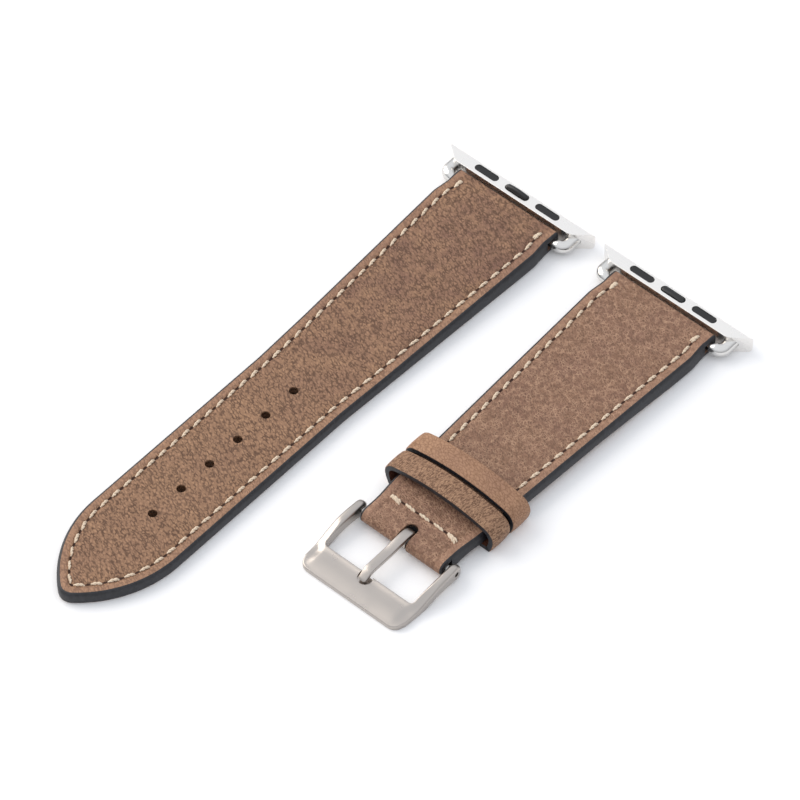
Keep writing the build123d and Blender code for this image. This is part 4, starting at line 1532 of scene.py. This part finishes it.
@dataclass
class Bail:
    """The polished wire bail: a round bar through the leather's loop, with a plump elbow at each end."""

    half: str
    radius: float = 0.825
    plump: float = 1.2
    elbow: float = 1.25
    neck: float = 0.9
    sides: int = 28
    elbow_steps: int = 14

    def path(self, side: float, bar: float, end: float) -> list[tuple[Point, Point, float]]:
        """Middle line of the right half of the wire, from the middle of the bar to the end in the adapter.

        Args:
            side: how far out the plump leg stands from the middle.
            bar: how far down the straight bar lies.
            end: how far up the wire reaches.

        Returns:
            The stops, each a place, a direction and the radius of the wire there.
        """
        out = side - self.elbow
        low = bar + self.plump - self.radius
        stops = [((0.0, bar), (1.0, 0.0), self.radius), ((out - self.neck, bar), (1.0, 0.0), self.radius)]
        for turn in np.linspace(1.5 * pi, 2 * pi, self.elbow_steps):
            spot = (out + self.elbow * cos(turn), low + self.elbow * (1 + sin(turn)))
            stops.append((spot, (-sin(turn), cos(turn)), self.plump))
        return [*stops, ((side, end), (0.0, 1.0), self.plump)]

    def build(self, finish: Material) -> None:
        """Sweeps a round section along the wire and dresses it.

        Args:
            finish: the polished wire.
        """
        node = f"{self.half}_bail"
        low, high = (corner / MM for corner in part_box(node))
        middle = middle_of(node)
        right = self.path((high.x - low.x) / 2 - self.plump, low.y + self.radius, high.y)
        left = [((-x, y), (run_x, -run_y), radius) for (x, y), (run_x, run_y), radius in right[:0:-1]]
        turns = np.linspace(0, 2 * pi, self.sides + 1)[:-1]
        rings = [
            [(middle.x + x - radius * cos(turn) * run_y, y + radius * cos(turn) * run_x,
              middle.z + radius * sin(turn)) for turn in turns]
            for (x, y), (run_x, run_y), radius in left + right[1:]]
        piece = mesh_piece(f"{self.half}_bail_wire", *loft(rings), [finish])
        dress(piece, f"{self.half}_adapter", [node])


@dataclass
class LatchSprings:
    """The two coiled springs under a latch button."""

    half: str
    coil_radius: float = 0.39
    wire_radius: float = 0.09
    play: float = 0.02
    turns: float = 4.5

    def tree(self, height: float, finish: Material) -> NodeTree:
        """Builds the tree that winds a spring on each foot.

        Args:
            height: height between the middles of the wire's two ends, in metres.
            finish: the spring wire.

        Returns:
            The tree, with named inputs for the spring's sizes.
        """
        tree, add, given = start_tree("coiled_springs", "Feet", {
            "Coil radius": self.coil_radius * MM, "Wire radius": self.wire_radius * MM, "Height": height,
            "Turns": self.turns})
        coil = add("GeometryNodeCurveSpiral", {
            "Resolution": 20, "Rotations": given["Turns"],
            "Start Radius": given["Coil radius"], "End Radius": given["Coil radius"], "Height": given["Height"]})
        ring = add("GeometryNodeCurvePrimitiveCircle", {"Resolution": 8, "Radius": given["Wire radius"]})
        wire = add("GeometryNodeCurveToMesh", {"Curve": coil, "Profile Curve": ring, "Fill Caps": True})
        stood = add("GeometryNodeInstanceOnPoints", {"Points": given["Feet"], "Instance": wire})
        end_tree(add, stood, finish)
        return tree

    def build(self, finish: Material) -> None:
        """Winds both springs between the adapter's plate and the button.

        Args:
            finish: the spring wire.
        """
        nodes = [f"{self.half}_latch_spring_{side}" for side in ("left", "right")]
        low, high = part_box(nodes[0])
        inset = (self.wire_radius + self.play) * MM
        data = bpy.data.meshes.new(f"{self.half}_latch_springs")
        data.from_pydata([(*(middle_of(node) * MM).xy, low.z + inset) for node in nodes], [], [])
        piece = put_in(data.name, data)
        grow(piece, self.tree(high.z - low.z - 2 * inset, finish), {})
        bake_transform(piece)
        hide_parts(*nodes)
        LOG.info("%s gives between adapter and button for %s", piece.name, ", ".join(nodes))


@dataclass
class LatchButton:
    """A latch button: a capsule with a domed head, on the wider flange that holds it in."""

    half: str
    rise: float
    sag: float
    flange: Point = (6.3, 1.4)
    flange_thick: float = 0.6
    head: Point = (5.0, 1.2)
    insets: Row = (0.0, 0.02, 0.06, 0.13, 0.22, 0.34, 0.47, 0.6)

    def capsule(self, length: float, width: float) -> list[Point]:
        """Outline of a capsule round the origin, anticlockwise.

        Args:
            length: its whole length.
            width: its width.

        Returns:
            The outline's points.
        """
        reach = (length - width) / 2
        end = [(reach + width / 2 * cos(a), width / 2 * sin(a)) for a in np.linspace(-pi / 2, pi / 2, 13)]
        side = [(x, width / 2) for x in np.linspace(reach, -reach, 9)[1:-1]]
        return end + side + [(-x, -y) for x, y in end + side]

    def build(self, finish: Material) -> None:
        """Lofts the button from its flange to the crest of its dome and dresses it.

        Args:
            finish: the moulded plastic.
        """
        node = f"{self.half}_latch_button"
        middle, foot = middle_of(node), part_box(node)[0].z / MM
        slot_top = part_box(f"{self.half}_adapter_body")[1].z / MM
        step = foot + self.flange_thick
        rings = [(*self.flange, foot, 0.0), (*self.flange, step, 0.0), (*self.head, step, 0.0)]
        for inset in self.insets:
            share = sqrt(1 - (1 - inset / self.insets[-1]) ** 2)
            rings.append((self.head[0] - 2 * inset, self.head[1] - 2 * inset, slot_top + self.rise * share, share))
        points, faces = loft([
            [(middle.x + x, middle.y + y, level - self.sag * share * (2 * x / self.head[0]) ** 2)
             for x, y in self.capsule(length, width)]
            for length, width, level, share in rings])
        faces.pop()  # the crest is a line, which needs no face
        piece = mesh_piece(f"{self.half}_button_cap", points, faces, [finish])
        dress(piece, f"{self.half}_latch", [node])


@dataclass
class BuckleFrame:
    """The buckle's frame: two arched, rounded arms that run into a plate with a fine rim round its window."""

    centre_x: float
    slots_y: float
    bar: Point = (71.8, 1.95)
    ear_radius: float = 1.5
    ear_turns: Row = (7, 14, 22, 31, 41, 52, 64, 77)
    ear_inset: float = 0.55
    inner_half: float = 10.0
    outer_halves: Spot = (11.45, 11.7, 11.2)
    window_front: float = 81.7
    front: float = 87.2
    window_round: float = 0.8
    corner_round: float = 1.9
    top_line: tuple[Point, ...] = (
        (71.8, 3.45), (74.0, 3.42), (76.75, 3.2), (79.3, 2.68), (81.7, 1.98), (83.2, 1.8), (84.6, 1.58),
        (86.0, 1.24), (87.2, 0.84), (87.6, 0.7))
    foot_line: tuple[Point, ...] = (
        (71.8, 0.45), (73.2, 0.7), (74.6, 0.82), (76.0, 0.825), (77.4, 0.7), (78.8, 0.42), (80.2, 0.0), (88.0, 0.0))
    top_shares: Row = (0.06, 0.13, 0.21, 0.3, 0.4, 0.52, 0.65, 0.8, 0.92)
    arm_rounding: float = 0.62
    rim_rounding: float = 0.15
    front_rounding: float = 0.34
    rim: Point = (0.3, 0.6)
    valley: float = 0.24
    slope: float = 0.5
    pin_hole: float = 0.5
    hole_reach: float = 14.0
    plate_side: Point = (10.4, 9.2)
    valley_run: Point = (1.0, 4.6)
    slope_in: Point = (0.15, 1.5)
    slope_from: Point = (75.5, 81.0)
    slope_to: Point = (83.0, 87.0)
    plate_widths: Point = (1.8, 3.8)
    rim_from: Point = (76.0, 80.5)
    foot_round: float = 0.3
    notch: Spot = (1.45, 82.425, 1.25)
    corner_steps: int = 18

    def outer_half(self, place: float) -> float:
        """Half width outside, on the arc through the ears, the belly and the front.

        Args:
            place: place down the strap.

        Returns:
            The half width.
        """
        ear, belly, corner = self.outer_halves
        t = (place - 70.3) / (self.front - 70.3)
        return ear * (1 - t) * (1 - 2 * t) + belly * 4 * t * (1 - t) + corner * t * (2 * t - 1)

    def half_stations(self) -> list[tuple[Point, Point, float]]:
        """Matched points on the inner and outer edge of one side, from the ear to the plate's middle.

        Returns:
            For each station the inner point, the outer point and the inset of an ear's rounded end.
        """
        stations = []
        for turn in np.radians(self.ear_turns):
            place = self.bar[0] - self.ear_radius * cos(turn)
            inset = self.ear_inset * (1 - sin(turn)) ** 2
            stations.append(((self.inner_half, place), (self.outer_half(place), place), inset))
        corner_at = self.window_front - self.window_round
        for place in np.linspace(self.bar[0], corner_at, 20):
            stations.append(((self.inner_half, place), (self.outer_half(place), place), 0.0))
        side = self.outer_half(self.front)
        centre = (side - self.corner_round, self.front - self.corner_round)
        path = [(self.outer_half(p), p) for p in np.linspace(corner_at, centre[1], 12)]
        path += [
            (centre[0] + self.corner_round * cos(a), centre[1] + self.corner_round * sin(a))
            for a in np.linspace(0, pi / 2, 15)[1:]]
        inner_x = self.inner_half - self.window_round
        path.append((inner_x, self.front))
        path = np.array(path)
        run = np.concatenate([[0], np.cumsum(np.linalg.norm(np.diff(path, axis=0), axis=1))])
        for share in np.linspace(0, 1, self.corner_steps + 1)[1:]:
            turn = share * pi / 2
            inner = (inner_x + self.window_round * cos(turn), corner_at + self.window_round * sin(turn))
            outer = tuple(float(np.interp(share * run[-1], run, path[:, i])) for i in (0, 1))
            stations.append((inner, outer, 0.0))
        for x in np.linspace(inner_x, 0.0, 16)[1:]:
            stations.append(((x, self.window_front), (x, self.front), 0.0))
        return stations

    def top_at(self, x: float, place: float, inward: float) -> float:
        """Height of the top, which is highest at the rim and falls outward.

        Args:
            x: distance from the middle.
            place: place down the strap.
            inward: distance from the window's edge.

        Returns:
            The height.
        """
        if place < self.bar[0]:
            return self.bar[1] + sqrt(max(0.0, self.ear_radius ** 2 - (self.bar[0] - place) ** 2))
        height = float(np.interp(place, *zip(*self.top_line)))
        past_rim = ease(*self.rim, inward)
        plate = ease(*self.plate_side, x)
        height -= self.valley * past_rim * plate * (1 - ease(*self.valley_run, inward))
        slope = ease(*self.slope_in, inward) * ease(*self.slope_from, place) * (1 - ease(*self.slope_to, place))
        height -= self.slope * slope * (1 - plate)
        return height

    def foot_at(self, place: float) -> float:
        """Height of the underside.

        Args:
            place: place down the strap.

        Returns:
            The height.
        """
        if place < self.bar[0]:
            return self.bar[1] - sqrt(max(0.0, self.ear_radius ** 2 - (self.bar[0] - place) ** 2))
        return float(np.interp(place, *zip(*self.foot_line)))

    def ring(self, inner: Point, outer: Point, inset: float) -> list[Spot]:
        """One closed section between two matched points.

        Args:
            inner: point on the window's edge.
            outer: point on the outer edge.
            inset: how far both sides draw in.

        Returns:
            The section's points, as distance from the middle, place and height.
        """
        width = dist(inner, outer)
        on_plate = share_between(*self.plate_widths, width)
        near_rim = share_between(*self.rim_from, inner[1])

        def spot(inward: float) -> Point:
            """Point at a distance from the window's edge."""
            share = inward / width
            return inner[0] + share * (outer[0] - inner[0]), inner[1] + share * (outer[1] - inner[1])

        def top(inward: float) -> float:
            """Height of the top there."""
            x, place = spot(inward)
            return self.top_at(x, place, inward)

        low_in, low_out = self.foot_at(inner[1]), self.foot_at(outer[1])
        room = min(top(0.0) - low_in, top(width) - low_out)
        near = min(self.arm_rounding + near_rim * (self.rim_rounding - self.arm_rounding), 0.46 * width, 0.48 * room)
        far = min(self.arm_rounding + on_plate * (self.front_rounding - self.arm_rounding), 0.46 * width, 0.48 * room)
        under = self.foot_round * min(1.0, room)
        section = [(0.35 * under, low_in + 0.02 * under), (0.0, low_in + under)]
        for turn in np.linspace(0, pi / 2, 6):
            d = near * (1 - cos(turn))
            section.append((d, top(near) - near * (1 - sin(turn))))
        for d in near + (width - near - far) * np.array(self.top_shares):
            section.append((d, top(d)))
        for turn in np.linspace(pi / 2, 0, 7):
            d = width - far * (1 - cos(turn))
            section.append((d, top(width - far) - far * (1 - sin(turn))))
        section += [(width, low_out + under), (width - 0.35 * under, low_out + 0.02 * under)]
        points = []
        for d, z in section:
            d = inset + d * (width - 2 * inset) / width
            x, place = spot(d)
            points.append((x, place, z))
        return points

    def build(self, finish: Material) -> None:
        """Sweeps the frame, cuts its notch and pin holes, and dresses it.

        Args:
            finish: the blasted steel.
        """
        right = self.half_stations()
        left = [((-i[0], i[1]), (-o[0], o[1]), inset) for i, o, inset in right[-2::-1]]
        loops = []
        for (inner, outer, inset), side in [(s, 1) for s in right] + [(s, -1) for s in left]:
            mirrored = ((abs(inner[0]), inner[1]), (abs(outer[0]), outer[1]), inset)
            loops.append([
                (self.centre_x + side * x, self.slots_y - place, z) for x, place, z in self.ring(*mirrored)])
        piece = mesh_piece("buckle_frame_shell", *loft(loops), [finish], sharp=SHARP)
        radius, place, low = self.notch
        ring = [(cos(a), sin(a)) for a in np.linspace(0, 2 * pi, 41)[:-1]]
        notch = prism(
            "notch", [(self.centre_x + radius * x, self.slots_y - place + radius * y) for x, y in ring], low, CUT_HIGH)
        hole = mesh_piece("pin_hole", *loft([
            [(self.centre_x + side * self.hole_reach, self.slots_y - self.bar[0] + self.pin_hole * y,
              self.bar[1] + self.pin_hole * z) for y, z in ring]
            for side in (-1, 1)]), [])
        for tool in (notch, hole):
            cut(piece, tool)
            put_away(tool)
        smooth(piece, SHARP)
        dress(piece, "buckle", ["buckle_frame"])


@dataclass
class Tongue:
    """The buckle's tongue: a rounded flat bar that hugs the spring bar, kinks, and drops into the plate's notch."""

    centre_x: float
    slots_y: float
    stations: tuple[Row, ...] = (
        (70.02, 2.75, 0.4, 0.3), (70.04, 2.95, 0.7, 0.56), (70.16, 3.2, 0.9, 0.76), (70.45, 3.46, 0.95, 0.88),
        (70.95, 3.68, 1.0, 0.92), (71.6, 3.83, 1.0, 0.92), (72.4, 3.88, 1.0, 0.92), (73.2, 3.84, 1.0, 0.92),
        (74.4, 3.72, 1.0, 0.92), (75.8, 3.53, 1.0, 0.92), (76.3, 3.47, 1.0, 0.92), (76.7, 3.44, 1.0, 0.92),
        (77.3, 3.43, 1.0, 0.92), (80.6, 3.38, 1.0, 0.92), (81.2, 3.35, 1.0, 0.92), (81.65, 3.24, 0.98, 0.92),
        (82.05, 3.02, 0.95, 0.9), (82.45, 2.74, 0.92, 0.88), (83.1, 2.26, 0.8, 0.84), (83.4, 2.02, 0.66, 0.76),
        (83.52, 1.88, 0.45, 0.6))
    corner: float = 0.24
    corner_steps: int = 4
    bar: Point = (71.8, 1.95)
    eye: Point = (0.8, 1.4)
    eye_half: float = 0.88

    def ring(self, half: float, thick: float) -> list[Point]:
        """Rounded section.

        Args:
            half: half its width.
            thick: its thickness.

        Returns:
            Its points across and below the top line.
        """
        radius = min(self.corner, 0.48 * thick, 0.48 * half)
        points = []
        for quarter, (x, z) in enumerate((
            (half - radius, -radius), (-half + radius, -radius), (-half + radius, -thick + radius),
            (half - radius, -thick + radius),
        )):
            for angle in np.linspace(0, pi / 2, self.corner_steps):
                turn = angle + quarter * pi / 2
                points.append((x + radius * cos(turn), z + radius * sin(turn)))
        return points

    def build(self, finish: Material) -> None:
        """Lofts the bar through its stations, adds the eye and dresses the piece.

        Args:
            finish: the blasted steel.
        """
        tops = np.array([(place, top) for place, top, _, _ in self.stations])
        runs = np.gradient(tops, axis=0)
        runs /= np.linalg.norm(runs, axis=1)[:, None]
        loops = []
        for (place, top, thick, half), (along, rise) in zip(self.stations, runs):
            loops.append([
                (self.centre_x + x, self.slots_y - (place - rise * z), top + along * z)
                for x, z in self.ring(half, thick)])
        bar, faces = loft(loops)
        rims = ((self.eye[1], -1), (self.eye[1], 1), (self.eye[0], 1), (self.eye[0], -1))
        eye, eye_faces = loft([
            [(self.centre_x + side * self.eye_half, self.slots_y - self.bar[0] + radius * cos(angle),
              self.bar[1] + radius * sin(angle)) for radius, side in rims]
            for angle in np.linspace(0, 2 * pi, 37)[:-1]], around=True)
        faces += [[at + len(bar) for at in face] for face in eye_faces]
        piece = mesh_piece("tongue_bar", np.concatenate([bar, eye]), faces, [finish], sharp=38)
        dress(piece, "tongue", ["tongue"])


@dataclass
class Studio:
    """Pale floor, large soft lights and the camera that the photograph was taken from."""

    tail_x: float
    slots_y: float
    focal_px: float = 6669.06
    elevation: float = 50.51
    azimuth: float = 41.23
    distance: float = 1169.98
    aim: Point = (13.99, 47.81)
    sensor: float = 36.0
    frame_px: int = 800
    low_light: float = 0.45
    high_light: float = 1.05
    box_at: Spot = (-1.0, -0.18, 0.64)
    box_size: float = 1.1
    box_power: float = 10.4

    def build(self) -> None:
        """Sets the stage, the lights and the camera."""
        scene = bpy.context.scene
        up, round_ = radians(self.elevation), radians(self.azimuth)
        target = Vector((self.tail_x + self.aim[0], self.slots_y - self.aim[1], 0.0)) * MM
        away = Vector((cos(up) * sin(round_), -cos(up) * cos(round_), sin(up)))
        lens = bpy.data.cameras.new("camera")
        lens.sensor_width = self.sensor
        lens.lens = self.focal_px / self.frame_px * self.sensor
        lens.clip_start = 0.05
        camera = put_in("camera", lens)
        camera.location = target + away * self.distance * MM
        camera.rotation_euler = (-away).to_track_quat("-Z", "Y").to_euler()
        scene.camera = camera
        scene.view_settings.view_transform = "Standard"
        self.floor()
        light = bpy.data.lights.new("softbox", "AREA")
        light.size, light.energy, light.color = self.box_size, self.box_power, colour("fff7ec")[:3]
        lamp = put_in("softbox", light)
        lamp.location = self.box_at
        lamp.rotation_euler = (-lamp.location).to_track_quat("-Z", "Y").to_euler()
        world = bpy.data.worlds.new("studio")
        world.use_nodes = True
        scene.world = world
        add = partial(add_node, world.node_tree)
        aim = add("ShaderNodeTexCoord").outputs["Generated"]
        rise = add("ShaderNodeSeparateXYZ", {0: aim}).outputs[2]
        level = add("ShaderNodeMapRange", {
            "Value": rise, "From Min": 0.0, "From Max": 0.78, "To Min": self.low_light,
            "To Max": self.high_light}, interpolation_type="SMOOTHSTEP")
        feed(world.node_tree.nodes["Background"], {"Strength": level, "Color": colour("f5f8fd")})

    def floor(self) -> None:
        """Lays the pale floor."""
        material, add, place, shader = start_material("matt_white_paper")
        fibre = add("ShaderNodeTexNoise", {"Vector": place, "Scale": 900.0, "Detail": 2.0})
        bump = add("ShaderNodeBump", {"Strength": 0.05, "Distance": 0.0001, "Height": fibre})
        feed(shader, {
            "Base Color": colour("fafafb"), "Roughness": 0.9, "Normal": bump, "Emission Color": colour("ffffff"),
            "Emission Strength": 0.04})
        data = bpy.data.meshes.new("floor")
        data.from_pydata([(-4, -4, 0), (4, -4, 0), (4, 4, 0), (-4, 4, 0)], [], [(0, 1, 2, 3)])
        data.materials.append(material)
        put_in("floor", data)


def share_between(low: float, high: float, value: float) -> float:
    """Share of the way from one value to another, held between zero and one.

    Args:
        low: value where it is zero.
        high: value where it is one; it may be the lower of the two.
        value: where it is taken.

    Returns:
        The share.
    """
    return min(1.0, max(0.0, (value - low) / (high - low)))


def ease(low: float, high: float, value: float) -> float:
    """A smooth step from zero to one, with the arguments of share_between."""
    share = share_between(low, high, value)
    return share * share * (3 - 2 * share)


def middle_of(node: str) -> Vector:
    """Middle of a CAD node's box, in millimetres."""
    low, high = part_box(node)
    return (low + high) / 2 / MM


def waist(start: float, end: float, wide: float, narrow: float, steps: int = 9) -> list[Point]:
    """Half widths that ease from one width to another.

    Args:
        start: place where the narrowing begins.
        end: place where it ends.
        wide: half width before.
        narrow: half width after.
        steps: number of points.

    Returns:
        Places and half widths.
    """
    shares = np.linspace(0, 1, steps)
    eased = shares * shares * (3 - 2 * shares)
    return [(start + s * (end - start), wide + e * (narrow - wide)) for s, e in zip(shares, eased)]


def main() -> None:
    """Builds the strap piece by piece and sets the studio."""
    logging.basicConfig(level=logging.INFO, format="%(message)s")
    pads = [middle_of(f"{half}_{pad}") for half in ("tail", "buckle_side") for pad in ("pad_left", "pad_right")]
    tail_x, buckle_x = (pads[0].x + pads[1].x) / 2, (pads[2].x + pads[3].x) / 2
    slots_y = pads[0].y
    paint = EdgePaint().build()
    thread = WaxedThread().build()
    lining = GrainLeather(
        "lining_calf", base="97775f", dark="7a5c47", light="a88a72", cell_mm=0.45, relief_mm=0.04,
        cloud_share=0.2, sewn=False).build()
    lug = [(0.0, 11.6), (5.5, 11.6), (9.0, 12.0)]
    tail = TailHalf(
        name="tail", body="tail_strap", centre_x=tail_x, slots_y=slots_y,
        widths=(*lug, (58.0, 10.0), (130.0, 10.0)),
        top=((0.0, 3.55), (9.0, 3.55), (46.0, 2.5), (130.0, 2.5)),
        under=((3.9, 0.15), (14.0, 0.0), (130.0, 0.0)))
    tail.finishes = {
        "top": GrainLeather(
            "calf_tail", pitch_mm=tail.pitch, cloud_share=0.25, lug_cloud=0.5,
            lug_y=(tail.y_at(75.0), tail.y_at(15.0))).build(),
        "paint": paint, "lining": lining, "thread": thread,
        "punched": GrainLeather(
            "punched_calf", base="85624a", dark="5c402d", light="c08e6a", cell_mm=0.3, relief_mm=0.05,
            cloud_share=0.2, sewn=False).build()}
    tail.build()
    neck = waist(62.0, 69.5, 10.0, 9.4)
    buckle = BuckleHalf(
        name="buckle_side", body="buckle_strap", centre_x=buckle_x, slots_y=slots_y,
        widths=(*lug, (55.0, 10.0), *neck, (80.0, 9.4)),
        top=((0.0, 3.55), (80.0, 3.55)),
        under=((3.9, 0.15), (14.0, 0.15), (32.0, 1.05), (66.0, 1.05), (69.6, 0.35), (80.0, 0.35)))
    buckle.finishes = {
        "top": GrainLeather(
            "calf_buckle_side", base="876651", light="b38f76", vein_mm=0.85, vein_width_mm=0.09, vein_share=0.9,
            crease_share=0.55, cell_mm=0.5, crease_mm=0.14, cloud_share=0.45).build(),
        "paint": paint, "lining": lining, "thread": thread}
    buckle.build()
    keeper_finishes = {
        "paint": paint,
        "keeper": GrainLeather(
            "calf_keeper", base="ac8569", dark="66462f", cell_mm=0.5, relief_mm=0.05,
            crease_share=0.6, crease_mm=0.13, dash_mm=0.3, dash_stretch=1.4, cloud_share=0.3, sewn=False).build(),
        "creased_keeper": GrainLeather(
            "calf_keeper_creased", base="b08b6e", dark="5c4030", cell_mm=0.3, crease_mm=0.14,
            grain_turn=82.0, grain_stretch=2.4, crease_share=0.95, dash_mm=0.3, dash_stretch=2.6, cloud_share=0.2,
            relief_mm=0.12, sewn=False).build(),
        "keeper_inside": GrainLeather(
            "keeper_inside", base="6c3f2d", dark="4e2c1e", light="7c4d39", relief_mm=0.05, sewn=False).build()}
    for node, body, wall, finish in (
        ("free_keeper", "free_keeper", 1.0, "keeper"), ("fixed_keeper", "buckle_strap", 1.05, "creased_keeper"),
    ):
        Keeper(node, body, buckle_x, middle_of(node).y, wall, finish).build(keeper_finishes)
    # painted light: the adapters' tint is raised as a painted highlight for their bright reflection, and the buckle's
    # lowered as painted shade for its duller plate
    adapter_steel = BlastedSteel("satin_adapter_steel", tint="f2efeb", roughness=0.27, relief=0.04).build()
    buckle_steel = BlastedSteel("blasted_buckle_steel", tint="b8b1ab", roughness=0.3).build()
    wire = BlastedSteel("polished_wire", tint="dcdad7", roughness=0.2, relief=0.03).build()
    spring = BlastedSteel("drawn_spring_steel", tint="bdbbb8", roughness=0.25).build()
    rubber = BlackMoulding("black_silicone_pad", roughness=0.5).build()
    button = BlackMoulding("black_button_plastic", tint="18181a", roughness=0.38).build()
    halves = ("tail", "buckle_side")
    for half in halves:
        AdapterShell(half).build(adapter_steel)
    BuckleFrame(buckle_x, slots_y).build(buckle_steel)
    Tongue(buckle_x, slots_y).build(buckle_steel)
    for half in halves:
        Bail(half).build(wire)
        LatchSprings(half).build(spring)
    for half, rise, sag in zip(halves, (0.9, 0.35), (0.4, 0.15)):
        LatchButton(half, rise, sag).build(button)
    for node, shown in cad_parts.items():
        kind = node.removeprefix("buckle_side_").removeprefix("tail_")
        finish = {"pad_left": rubber, "pad_right": rubber, "latch_retainer": button}.get(
            kind, spring if kind.startswith("spring_bar") else None)
        if finish is not None:
            shown.data.materials.clear()
            shown.data.materials.append(finish)
            LOG.info("%s keeps its CAD shape in %s", node, finish.name)
    Studio(tail_x, slots_y).build()


if __name__ == "__main__":
    main()
